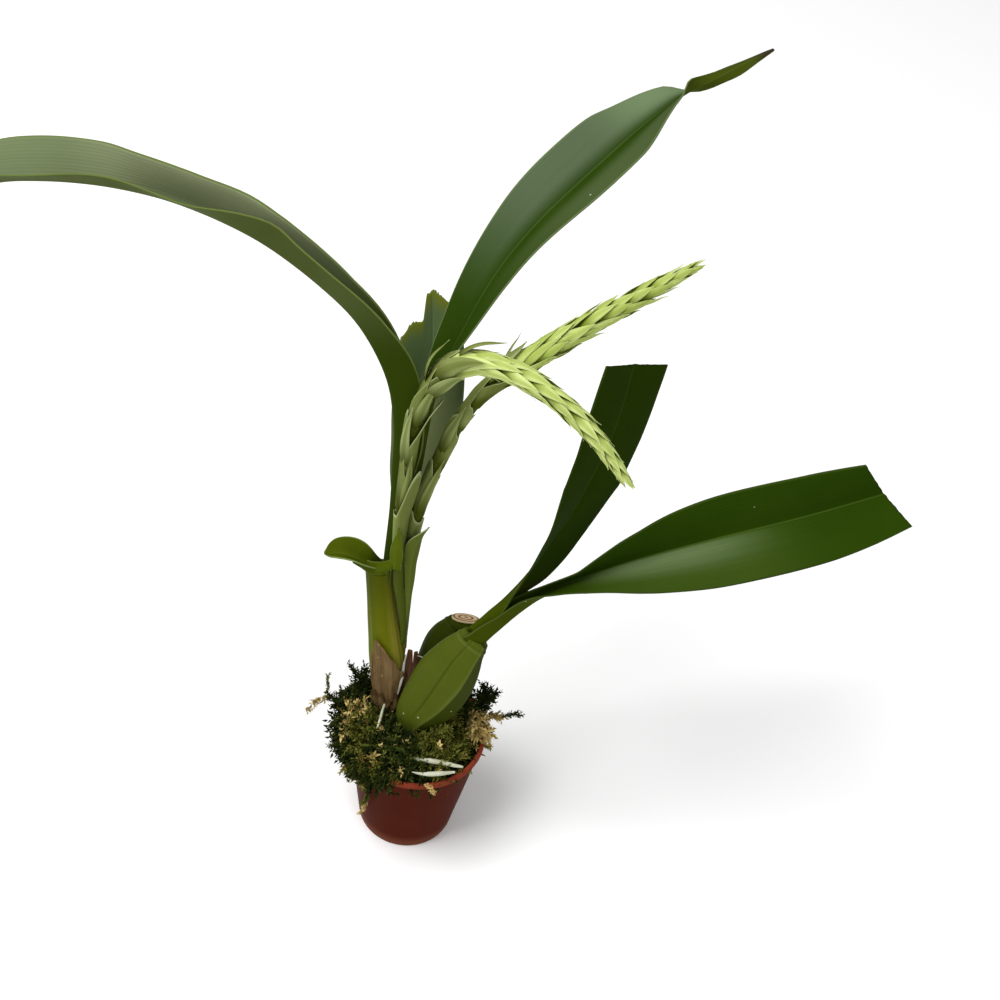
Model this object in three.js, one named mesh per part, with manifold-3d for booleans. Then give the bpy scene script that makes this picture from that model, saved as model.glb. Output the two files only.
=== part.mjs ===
// A potted Gomesa crispa: a small clay-coloured plastic pot, moss, two older
// pseudobulbs, a new growth with three leaves, two cut leaves and two flower
// spikes in bud. Millimetres, +Z up, origin at the middle of the pot's base.

import * as THREE from 'three';
import { mergeVertices } from 'three/addons/utils/BufferGeometryUtils.js';
import Module from 'manifold-3d';

const wasm = await Module();
wasm.setup();

// Driving dimensions of the pot
const POT_HEIGHT = 55;
const POT_BASE_RADIUS = 19.4;
const POT_LIP_RADIUS = 27.5;
const POT_LIP_HEIGHT = 2.6;
const POT_LIP_PROUD = 0.7;
const POT_WALL = 1.1;
const POT_FLOOR = 1.6;
const DRAIN_HOLES = 4;
const DRAIN_HOLE_RADIUS = 2;
const DRAIN_RING_RADIUS = 11.5;

// Driving dimensions of what fills it
const SEAT_GAP = 0.3;
const FILL_TOP = 47;
const MOSS_BASE = FILL_TOP + SEAT_GAP;
const MOSS_EDGE = 57;
const MOSS_CROWN = 61.5;
const MOSS_TUFTS = 40;
const MOSS_TUFT_LENGTH = 6.5;

// Driving dimensions of the plant
const LEAF_THICKNESS = 0.7;
const LEAF_STATIONS = 17;
const LONG_LEAF_STATIONS = 23;
const CUT_LEAF_STATIONS = 18;
const BRACT_STATIONS = 8;
const BULB_SIDES = 20;
const BULB_RINGS = 13;
const STALK_RADIUS = 1.9;
const HEAD_RADIUS = 3.2;
const BRACT_LENGTH = 10;
const BRACT_WIDTH = 4.2;
const BRACT_DEPTH = 2;
const BRACT_PITCH = 1.8;
const ROOT_RADIUS = 0.95;
const ROOT_SIDES = 8;
const ROOT_STEPS = 10;

const COLOURS = {
  pot: 0x8a3424,
  fill: 0x4a3524,
  moss: 0x4a4f22,
  root: 0xdedccb,
  rhizome: 0x5b3c22,
  bulb: 0x6f7d33,
  oldBulb: 0x4f6322,
  cutEnd: 0xd8c08a,
  growth: 0x7c7f12,
  paper: 0x96785a,
  leaf: 0x2c4a14,
  leafPale: 0x6d7f55,
  bract: 0xb4c66a,
};

const vec = (point) => new THREE.Vector3(...point);
const turns = (fraction) => fraction * Math.PI * 2;
const radians = THREE.MathUtils.degToRad;
const curveThrough = (points) => new THREE.CatmullRomCurve3(points.map(vec), false, 'centripetal');

// A repeatable random number from 0 to 1 for each call
function seeded(seed) {
  let state = seed;
  return () => {
    state = (state * 1664525 + 1013904223) % 4294967296;
    return state / 4294967296;
  };
}

// Reads a value from a list of [place, value] pairs along one smooth line
function along(pairs, place) {
  const last = pairs.length - 1;
  if (place <= pairs[0][0]) return pairs[0][1];
  if (place >= pairs[last][0]) return pairs[last][1];
  const slope = (index) => {
    const [fromAt, from] = pairs[Math.max(index - 1, 0)];
    const [toAt, to] = pairs[Math.min(index + 1, last)];
    return (to - from) / (toAt - fromAt);
  };
  const after = pairs.findIndex(([at]) => at >= place);
  const [fromAt, from] = pairs[after - 1];
  const [toAt, to] = pairs[after];
  const span = toAt - fromAt;
  const part = (place - fromAt) / span;
  const leave = slope(after - 1) * span * part * (1 - part) ** 2;
  const arrive = slope(after) * span * part * part * (1 - part);
  return from + (to - from) * part * part * (3 - 2 * part) + leave - arrive;
}

// Mixes a row of directions spread evenly from place 0 to place 1
function directionAt(directions, place) {
  const spot = place * (directions.length - 1);
  const first = Math.min(Math.floor(spot), directions.length - 2);
  return vec(directions[first]).lerp(vec(directions[first + 1]), spot - first).normalize();
}

// A closed geometry from points and triangles, turned so that it faces out
function closedGeometry(points, triangles) {
  let volume = 0;
  for (const [a, b, c] of triangles) {
    volume += points[a].dot(points[b].clone().cross(points[c]));
  }
  const geometry = new THREE.BufferGeometry();
  const order = volume < 0 ? triangles.map(([a, b, c]) => [a, c, b]) : triangles;
  geometry.setFromPoints(points);
  geometry.setIndex(order.flat());
  return geometry;
}

function solidOf(geometry) {
  const bare = geometry.clone();
  bare.deleteAttribute('normal');
  bare.deleteAttribute('uv');
  const merged = mergeVertices(bare, 1e-4);
  const mesh = new wasm.Mesh({
    numProp: 3,
    vertProperties: new Float32Array(merged.attributes.position.array),
    triVerts: new Uint32Array(merged.index.array),
  });
  return new wasm.Manifold(mesh);
}

function geometryOf(solid) {
  const mesh = solid.getMesh();
  const geometry = new THREE.BufferGeometry();
  geometry.setAttribute('position', new THREE.BufferAttribute(new Float32Array(mesh.vertProperties), 3));
  geometry.setIndex(new THREE.BufferAttribute(new Uint32Array(mesh.triVerts), 1));
  return geometry;
}

function fuse(geometries) {
  return geometries.map(solidOf).reduce((whole, piece) => whole.add(piece));
}

// Closed rings of equal count, joined one to the next and capped at both ends
function loft(rings) {
  const count = rings[0].length;
  const points = rings.flat();
  const triangles = [];
  for (let ring = 0; ring < rings.length - 1; ring += 1) {
    for (let side = 0; side < count; side += 1) {
      const next = (side + 1) % count;
      const [a, b] = [ring * count + side, ring * count + next];
      triangles.push([a, b, b + count], [a, b + count, a + count]);
    }
  }
  for (const [start, flip] of [[0, true], [(rings.length - 1) * count, false]]) {
    const middle = new THREE.Vector3();
    for (let side = 0; side < count; side += 1) middle.addScaledVector(points[start + side], 1 / count);
    const hub = points.push(middle) - 1;
    for (let side = 0; side < count; side += 1) {
      const next = start + ((side + 1) % count);
      triangles.push(flip ? [hub, next, start + side] : [hub, start + side, next]);
    }
  }
  return closedGeometry(points, triangles);
}

// A frame of side and face directions at a place on a curve; twist turns it
// about the curve, in degrees
function frameAt(curve, place, faces, twist = [[0, 0], [1, 0]]) {
  const tangent = curve.getTangentAt(place);
  const face = directionAt(faces, place);
  face.addScaledVector(tangent, -face.dot(tangent)).normalize();
  face.applyAxisAngle(tangent, radians(along(twist, place)));
  const side = tangent.clone().cross(face).normalize();
  return { middle: curve.getPointAt(place), tangent, face, side };
}

// A round or flattened stem: half widths across and through at each place, and
// crest, which swells or pinches it round its girth
function stem({ path, faces, across, through, sides, rings, crest = () => 1 }) {
  const curve = curveThrough(path);
  const loops = [];
  for (let ring = 0; ring <= rings; ring += 1) {
    const place = ring / rings;
    const { middle, face, side } = frameAt(curve, place, faces);
    const loop = [];
    for (let step = 0; step < sides; step += 1) {
      const angle = turns(step / sides);
      const point = middle.clone();
      point.addScaledVector(side, Math.cos(angle) * across(place) * crest(angle, place));
      point.addScaledVector(face, Math.sin(angle) * through(place) * crest(angle, place));
      loop.push(point);
    }
    loops.push(loop);
  }
  return loft(loops);
}

// A slab of even thickness about a grid of middle points, one row per station
function slab(grid, thickness) {
  const rows = grid.length;
  const columns = grid[0].length;
  const faces = [[], []];
  for (let row = 0; row < rows; row += 1) {
    for (let column = 0; column < columns; column += 1) {
      const here = grid[row][column];
      const lengthwise = grid[Math.min(row + 1, rows - 1)][column]
        .clone()
        .sub(grid[Math.max(row - 1, 0)][column]);
      const before = here.clone().sub(grid[row][Math.max(column - 1, 0)]);
      const after = grid[row][Math.min(column + 1, columns - 1)].clone().sub(here);
      const normals = [before, after]
        .filter((span) => span.length() > 1e-6)
        .map((span) => lengthwise.clone().cross(span).normalize());
      const normal = normals.reduce((sum, one) => sum.add(one), new THREE.Vector3()).normalize();
      const mitre = Math.min(1.6, 1 / Math.max(0.3, normal.dot(normals[0])));
      faces[0].push(here.clone().addScaledVector(normal, (thickness / 2) * mitre));
      faces[1].push(here.clone().addScaledVector(normal, (-thickness / 2) * mitre));
    }
  }
  const total = rows * columns;
  const triangles = [];
  const quad = (a, b, c, d) => triangles.push([a, b, c], [a, c, d]);
  for (let row = 0; row < rows - 1; row += 1) {
    for (let column = 0; column < columns - 1; column += 1) {
      const a = row * columns + column;
      const [b, c, d] = [a + 1, a + columns + 1, a + columns];
      quad(a, b, c, d);
      triangles.push([a + total, c + total, b + total], [a + total, d + total, c + total]);
    }
    for (const [column, flip] of [[0, true], [columns - 1, false]]) {
      const a = row * columns + column;
      const d = a + columns;
      if (flip) quad(a, d, d + total, a + total);
      else quad(a, a + total, d + total, d);
    }
  }
  for (let column = 0; column < columns - 1; column += 1) {
    const last = (rows - 1) * columns + column;
    quad(column, column + total, column + 1 + total, column + 1);
    quad(last, last + 1, last + 1 + total, last + total);
  }
  return closedGeometry([...faces[0], ...faces[1]], triangles);
}

// A leaf: its two halves rise from the midrib, each by its own outline and its
// own fold, and each line of the blade ends at its own share of the length,
// which gives a slanted cut or a tear. Where one outline or fold is given, both
// halves have it. The first stretch of the path, hidden, has no blade
const BLADE_LINES = [-1, -0.7, -0.4, -0.12, 0, 0.12, 0.4, 0.7, 1];

function blade({
  path, faces, twist, halfWidth, outlines, folds, hidden = 0, ends = () => 1, lines = BLADE_LINES,
  stations = LEAF_STATIONS,
}) {
  const curve = curveThrough(path);
  const start = hidden / curve.getLength();
  const grid = [];
  for (let station = 0; station <= stations; station += 1) {
    const row = lines.map((line) => {
      const place = Math.min(1, (start + (1 - start) * (station / stations)) * ends(line));
      const { middle, face, side } = frameAt(curve, place, faces, twist);
      const half = line < 0 ? 0 : -1;
      const reach = Math.abs(line) * halfWidth * along(outlines.at(half), place);
      const crease = Math.min(reach, 0.12 * halfWidth);
      const rise = radians(along(folds.at(half), place));
      const wide = crease * Math.cos(rise * 0.55) + (reach - crease) * Math.cos(rise);
      const tall = crease * Math.sin(rise * 0.55) + (reach - crease) * Math.sin(rise);
      return middle.addScaledVector(side, Math.sign(line) * wide).addScaledVector(face, tall);
    });
    grid.push(row);
  }
  return slab(grid, LEAF_THICKNESS);
}

// A bract or bud: a slim boat with a raised back, its root sunk in the stem
function bract({ root, forward, outward, length, width, depth, lift }) {
  const across = forward.clone().cross(outward).normalize();
  const points = [];
  const put = (along01, sideways, out) => {
    const bend = lift * along01 * along01 * length;
    points.push(root
      .clone()
      .addScaledVector(forward, along01 * length)
      .addScaledVector(across, sideways)
      .addScaledVector(outward, out + bend));
  };
  put(0, 0, -0.3);
  for (const [place, share] of [[0.3, 1], [0.65, 0.72]]) {
    put(place, (-width / 2) * share, -0.1 * depth);
    put(place, 0, (depth / 2) * share);
    put(place, (width / 2) * share, -0.1 * depth);
    put(place, 0, (-depth / 2) * share);
  }
  put(1, 0, 0.1);
  const triangles = [];
  for (let side = 0; side < 4; side += 1) {
    const next = (side + 1) % 4;
    triangles.push([0, 1 + side, 1 + next]);
    triangles.push([1 + side, 5 + side, 5 + next], [1 + side, 5 + next, 1 + next]);
    triangles.push([5 + side, 9, 5 + next]);
  }
  return closedGeometry(points, triangles);
}

// A flower spike in bud: bare below, then long sheathing bracts, then a dense
// ear of short bracts in a spiral
function spike({ path, faces, headStart, sheaths, seed }) {
  const curve = curveThrough(path);
  const length = curve.getLength();
  const random = seeded(seed);
  const radiusAt = (place) => along([
    [0, STALK_RADIUS], [headStart - 0.08, STALK_RADIUS], [headStart + 0.08, HEAD_RADIUS],
    [0.85, HEAD_RADIUS * 0.8], [1, 0.5],
  ], place);
  const pieces = [stem({
    path, faces, across: radiusAt, through: radiusAt, sides: 7, rings: 22,
  })];
  const place = (at, angle, tilt, size) => {
    const { middle, tangent, face, side } = frameAt(curve, Math.min(at, 1), faces);
    const outward = side.multiplyScalar(Math.cos(angle)).addScaledVector(face, Math.sin(angle));
    const forward = tangent.clone().addScaledVector(outward, Math.tan(tilt)).normalize();
    const raised = outward.clone().addScaledVector(forward, -outward.dot(forward)).normalize();
    pieces.push(bract({
      root: middle.addScaledVector(outward, radiusAt(Math.min(at, 1)) * 0.55),
      forward,
      outward: raised,
      length: BRACT_LENGTH * size,
      width: BRACT_WIDTH * (0.8 + 0.2 * size),
      depth: BRACT_DEPTH,
      lift: -0.05,
    }));
  };
  for (const [at, angle, size] of sheaths) place(at, radians(angle), radians(9), size);
  const headLength = length * (1 - headStart);
  const count = Math.floor((headLength - 2) / BRACT_PITCH);
  const goldenAngle = radians(137.5);
  for (let index = 0; index < count; index += 1) {
    const share = index / count;
    const at = headStart + (1 - headStart) * share * 0.97;
    const size = along([[0, 1.05], [0.5, 1], [0.85, 0.8], [1, 0.55]], share) * (0.95 + 0.1 * random());
    place(at, goldenAngle * index, radians(along([[0, 15], [1, 9]], share)), size);
  }
  return geometryOf(fuse(pieces));
}

// The pot: a tapered cup with a rolled lip and drain holes off its centre
function pot() {
  const under = POT_HEIGHT - POT_LIP_HEIGHT;
  const slope = (POT_LIP_RADIUS - POT_LIP_PROUD - POT_BASE_RADIUS) / POT_HEIGHT;
  const outer = (height) => POT_BASE_RADIUS + slope * height;
  const profile = [
    [0, 0], [POT_BASE_RADIUS - 0.6, 0], [outer(0.6), 0.6], [outer(under), under],
    [POT_LIP_RADIUS, under + 0.5], [POT_LIP_RADIUS, POT_HEIGHT - 0.6],
    [POT_LIP_RADIUS - 0.6, POT_HEIGHT], [outer(POT_HEIGHT) - POT_WALL, POT_HEIGHT],
    [outer(POT_FLOOR) - POT_WALL, POT_FLOOR], [0, POT_FLOOR],
  ].map(([radius, height]) => new THREE.Vector2(radius, height));
  const cup = new THREE.LatheGeometry(profile, 48).rotateX(Math.PI / 2);
  let solid = solidOf(cup);
  for (let hole = 0; hole < DRAIN_HOLES; hole += 1) {
    const angle = turns((hole + 0.5) / DRAIN_HOLES);
    const plug = new THREE.CylinderGeometry(DRAIN_HOLE_RADIUS, DRAIN_HOLE_RADIUS, POT_FLOOR * 3, 12)
      .rotateX(Math.PI / 2)
      .translate(Math.cos(angle) * DRAIN_RING_RADIUS, Math.sin(angle) * DRAIN_RING_RADIUS, 0);
    solid = solid.subtract(solidOf(plug));
  }
  return geometryOf(solid);
}

// Inner radius of the pot, less the gap that the filling keeps to it
function fillRadius(height) {
  const slope = (POT_LIP_RADIUS - POT_LIP_PROUD - POT_BASE_RADIUS) / POT_HEIGHT;
  return POT_BASE_RADIUS + slope * height - POT_WALL - SEAT_GAP;
}

function fill() {
  const bottom = POT_FLOOR + SEAT_GAP;
  const profile = [
    [0, bottom], [fillRadius(bottom), bottom], [fillRadius(FILL_TOP), FILL_TOP], [0, FILL_TOP],
  ].map(([radius, height]) => new THREE.Vector2(radius, height));
  return new THREE.LatheGeometry(profile, 32).rotateX(Math.PI / 2);
}

// The two older pseudobulbs lean to the right side by side, with flat fronts
// and one ridge; grow widens a piece to cut its hole in the moss
const BULB_SHAPE = [[0, 0.5], [0.16, 0.84], [0.4, 1], [0.62, 0.97], [0.8, 0.76], [0.92, 0.55], [1, 0.42]];
const RIDGE_ANGLES = [[0, 84], [0.3, 69], [0.6, 58], [0.85, 46], [1, 36]];
const RIDGE_HEIGHT = 0.11;
const RIDGE_SPREAD = 16;

const FRONT_BULB = {
  path: [
    [-0.8, -1.4, 51.1], [1.2, -1.2, 66], [4.6, -1, 77.5], [8.2, -0.8, 91], [11.8, -0.6, 105.5],
    [13.4, -0.6, 110.6], [15.1, -0.6, 113.6],
  ],
  faces: [[-0.3, -0.95, 0.1], [-0.3, -0.95, 0.1]],
  halfWidth: 11.7,
  halfDepth: 6.4,
};

const REAR_BULB = {
  path: [[2.6, 10.8, 51.4], [5.2, 12.6, 66], [7.8, 13.6, 84], [9.6, 13.9, 98], [10.8, 14, 105.6]],
  faces: [[-0.3, -0.95, 0.1], [-0.3, -0.95, 0.1]],
  halfWidth: 11,
  halfDepth: 5.4,
};

const REAR_SHAPE = [[0, 0.5], [0.2, 0.84], [0.45, 1], [0.7, 0.96], [0.85, 0.8], [0.95, 0.6], [1, 0.5]];

function ridge(angle, place) {
  const away = (THREE.MathUtils.radToDeg(angle) - along(RIDGE_ANGLES, place)) / RIDGE_SPREAD;
  return 1 + RIDGE_HEIGHT * Math.exp(-away * away);
}

function pseudobulb({ path, faces, halfWidth, halfDepth }, shape, grow = 0) {
  return stem({
    path,
    faces,
    across: (place) => halfWidth * along(shape, place) + grow,
    through: (place) => halfDepth * along(shape, place) + grow,
    sides: BULB_SIDES,
    rings: BULB_RINGS,
    crest: ridge,
  });
}

// What is left of the old leaf: a short stub, cut straight, on the rear bulb
const STUB_HEIGHT = 1.6;
const STUB_WIDTH_SHARE = 0.48;
const STUB_DEPTH_SHARE = 0.48;

function cutStub() {
  const curve = curveThrough(REAR_BULB.path);
  const upward = curve.getTangentAt(1);
  const from = curve.getPointAt(1).addScaledVector(upward, SEAT_GAP);
  const to = from.clone().addScaledVector(upward, STUB_HEIGHT);
  return stem({
    path: [from.toArray(), to.toArray()],
    faces: REAR_BULB.faces,
    across: () => REAR_BULB.halfWidth * STUB_WIDTH_SHARE,
    through: () => REAR_BULB.halfDepth * STUB_DEPTH_SHARE,
    sides: BULB_SIDES,
    rings: 1,
  });
}

const GROWTH = {
  path: [[-14, 8.5, 50.5], [-14.6, 8.5, 66], [-16.1, 8.5, 86], [-19.3, 9, 108], [-22.2, 9.5, 130]],
  faces: [[-0.3, -1, 0.1], [-0.3, -1, 0.1]],
  halfWidth: 6.5,
  halfDepth: 4.6,
};

const GROWTH_SHAPE = [[0, 0.7], [0.2, 0.95], [0.42, 1.13], [0.62, 1.02], [0.82, 0.9], [1, 0.86]];

function newGrowth(grow = 0) {
  return stem({
    ...GROWTH,
    across: (place) => GROWTH.halfWidth * along(GROWTH_SHAPE, place) + grow,
    through: (place) => GROWTH.halfDepth * along(GROWTH_SHAPE, place) + grow,
    sides: BULB_SIDES,
    rings: BULB_RINGS,
  });
}

// The dry papery sheath: a shell round the front of the new growth's foot,
// cut to a point at the front and low at its edges
const PAPER_FOOT = 0.06;
const PAPER_HALF_TURN = 0.3;

function paperySheath() {
  const curve = curveThrough(GROWTH.path);
  const columns = 10;
  const rows = 9;
  const grid = [];
  for (let row = 0; row <= rows; row += 1) {
    const line = [];
    for (let column = 0; column <= columns; column += 1) {
      const swing = (column / columns) * 2 - 1;
      const top = along([[0, 0.61], [0.35, 0.44], [0.8, 0.26], [1, 0.2]], Math.abs(swing));
      const place = PAPER_FOOT + (top - PAPER_FOOT) * (row / rows);
      const { middle, face, side } = frameAt(curve, place, GROWTH.faces);
      const angle = Math.PI / 2 - turns(swing * PAPER_HALF_TURN);
      const clear = SEAT_GAP + LEAF_THICKNESS / 2 + 0.15;
      const stretch = along(GROWTH_SHAPE, place);
      middle.addScaledVector(side, Math.cos(angle) * (GROWTH.halfWidth * stretch + clear));
      middle.addScaledVector(face, Math.sin(angle) * (GROWTH.halfDepth * stretch + clear));
      line.push(middle);
    }
    grid.push(line);
  }
  return slab(grid, LEAF_THICKNESS);
}

// The rhizome creeps on the filling under the bulbs and the new growth
const RHIZOME_RADIUS = 1.4;
const RHIZOME_HEIGHT = MOSS_BASE + RHIZOME_RADIUS;
const RHIZOME_PATH = [
  [12, 14, RHIZOME_HEIGHT], [5, 9, RHIZOME_HEIGHT], [-1, -1, RHIZOME_HEIGHT],
  [-8, 3, RHIZOME_HEIGHT], [-15, 9, RHIZOME_HEIGHT],
];

// The same path, a little longer at both ends
function lengthened(path, extra) {
  const points = path.map(vec);
  const first = points[0].clone().sub(points[1]).setLength(extra).add(points[0]);
  const last = points.at(-1).clone().sub(points.at(-2)).setLength(extra).add(points.at(-1));
  return [first.toArray(), ...path, last.toArray()];
}

function tube(path, radius, sides, steps) {
  const section = new THREE.Shape();
  for (let side = 0; side < sides; side += 1) {
    const angle = turns(side / sides);
    const [x, y] = [Math.cos(angle) * radius, Math.sin(angle) * radius];
    if (side === 0) section.moveTo(x, y);
    else section.lineTo(x, y);
  }
  section.closePath();
  return new THREE.ExtrudeGeometry(section, { steps, extrudePath: curveThrough(path) });
}

const ROOTS = {
  root_long: [
    [-20, -15.5, 58.5], [-10.4, -15.3, 60], [-4.5, -15.8, 60.5], [0.6, -18, 60.3], [10.4, -17.8, 60],
    [20.6, -17.2, 59],
  ],
  root_short: [[1.7, -23.6, 58.8], [6.7, -23.6, 59], [12.4, -22, 59], [17.8, -19.8, 58.4]],
  root_new: [[-14.2, 1.2, 63.6], [-14.4, -0.8, 62.8], [-14.7, -5.4, 61.4], [-15, -8, 60.4]],
};

// Moss: a cushion that fills the mouth and spills over the rim, more on the
// left, with short curled tufts all over
function mossReach(angle) {
  const toLeft = (1 - Math.cos(angle)) / 2;
  const toFront = Math.max(0, -Math.sin(angle));
  const wobble = Math.sin(angle * 5) * 0.7 + Math.sin(angle * 9 + 1) * 0.5;
  return POT_LIP_RADIUS - 1.4 + 8.5 * toLeft ** 1.5 - 1.6 * toFront + wobble;
}

function mossCushion() {
  const columns = 26;
  const overLip = POT_HEIGHT + SEAT_GAP + 0.1;
  const inner = fillRadius(POT_HEIGHT) - 0.5;
  const outlines = [];
  for (let column = 0; column < columns; column += 1) {
    const angle = turns(column / columns);
    const outside = Math.max(mossReach(angle), inner + 0.6);
    const lumps = Math.sin(angle * 3) * 0.6;
    const outline = [
      [fillRadius(MOSS_BASE) - 0.2, MOSS_BASE],
      [inner, overLip],
      [outside - 0.4, overLip],
      [outside, overLip + 1.2],
      [outside * 0.9, MOSS_EDGE + 1.4 + lumps],
      [outside * 0.62, MOSS_CROWN - 0.6 - lumps],
      [outside * 0.3, MOSS_CROWN + lumps],
    ];
    outlines.push(outline.map(([radius, height]) => (
      new THREE.Vector3(Math.cos(angle) * radius, Math.sin(angle) * radius, height)
    )));
  }
  return loft(outlines[0].map((_, ring) => outlines.map((column) => column[ring])));
}

function tuft(root, direction, length, thickness, bend) {
  const aside = direction.clone().cross(new THREE.Vector3(0.3, 0.5, 0.8)).normalize();
  const other = direction.clone().cross(aside).normalize();
  const loops = [0, 0.5, 1].map((place) => {
    const middle = root.clone().addScaledVector(direction, length * place);
    middle.addScaledVector(aside, bend * place * place);
    const radius = thickness * (1 - 0.75 * place);
    return [0, 1, 2].map((corner) => middle
      .clone()
      .addScaledVector(aside, Math.cos(turns(corner / 3)) * radius)
      .addScaledVector(other, Math.sin(turns(corner / 3)) * radius));
  });
  return loft(loops);
}

const MOSS_SPRIGS = [
  { root: [23, 6.5, 58.5], path: [14, 1.6, 5], forks: 3 },
  { root: [-31, 4.5, 57.5], path: [-10, -8, 4], forks: 3 },
  { root: [-30, 6, 58], path: [-7, 1.5, 8], forks: 2 },
  { root: [-22, 14, 58.5], path: [-2, 4, 8], forks: 2 },
  { root: [20, 13, 58.5], path: [4, 3, 6], forks: 2 },
];

function moss() {
  const random = seeded(11);
  const tufts = [];
  for (let index = 0; index < MOSS_TUFTS; index += 1) {
    const angle = turns(random());
    const share = 0.3 + 0.68 * Math.sqrt(random());
    const radius = mossReach(angle) * share;
    const height = THREE.MathUtils.lerp(MOSS_CROWN, MOSS_EDGE, share) - 0.6;
    const root = new THREE.Vector3(Math.cos(angle) * radius, Math.sin(angle) * radius, height);
    const outward = new THREE.Vector3(Math.cos(angle), Math.sin(angle), 0);
    const direction = outward.multiplyScalar(share > 0.8 ? 1 : 0.5);
    direction.z = share > 0.8 ? 0.25 : 0.9;
    direction.x += random() - 0.5;
    direction.y += random() - 0.5;
    const length = MOSS_TUFT_LENGTH * (0.6 + 0.6 * random());
    tufts.push(tuft(root, direction.normalize(), length, 0.8, (random() - 0.5) * 3));
  }
  for (const { root, path, forks } of MOSS_SPRIGS) {
    const reach = vec(path);
    tufts.push(tuft(vec(root), reach.clone().normalize(), reach.length(), 1, 1));
    for (let fork = 0; fork < forks; fork += 1) {
      const from = vec(root).addScaledVector(reach, 0.4 + 0.15 * fork);
      const spread = new THREE.Vector3(random() - 0.5, random() - 0.5, random() - 0.3);
      tufts.push(tuft(from, reach.clone().normalize().add(spread).normalize(), 6, 0.7, 1));
    }
  }
  let solid = fuse([mossCushion(), ...tufts]);
  const clear = SEAT_GAP + 0.1;
  const paperClear = clear + LEAF_THICKNESS + SEAT_GAP + 0.3;
  const standing = [
    pseudobulb(FRONT_BULB, BULB_SHAPE, clear),
    pseudobulb(REAR_BULB, REAR_SHAPE, clear),
    newGrowth(paperClear),
  ];
  const channel = (path, radius) => tube(lengthened(path, clear), radius + clear, ROOT_SIDES, ROOT_STEPS);
  const lying = [
    channel(RHIZOME_PATH, RHIZOME_RADIUS),
    ...Object.values(ROOTS).map((path) => channel(path, ROOT_RADIUS)),
  ];
  const lowered = standing.map((geometry) => geometry.clone().translate(0, 0, -clear));
  for (const geometry of [...standing, ...lowered, ...lying]) solid = solid.subtract(solidOf(geometry));
  const pieces = solid.decompose();
  pieces.sort((a, b) => b.volume() - a.volume());
  return geometryOf(pieces[0]);
}

// The leaves of the new growth start inside its mouth; their blades begin this
// far along, just above its top
const GROWTH_CLEAR = 5.3;

// How far along each line of the back leaf is torn off, from its left margin
const TORN_TOP = [
  [-1, 0.86], [-0.65, 0.91], [-0.3, 0.91], [-0.15, 0.99], [0.3, 1], [0.75, 0.96], [1, 0.92],
];

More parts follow.
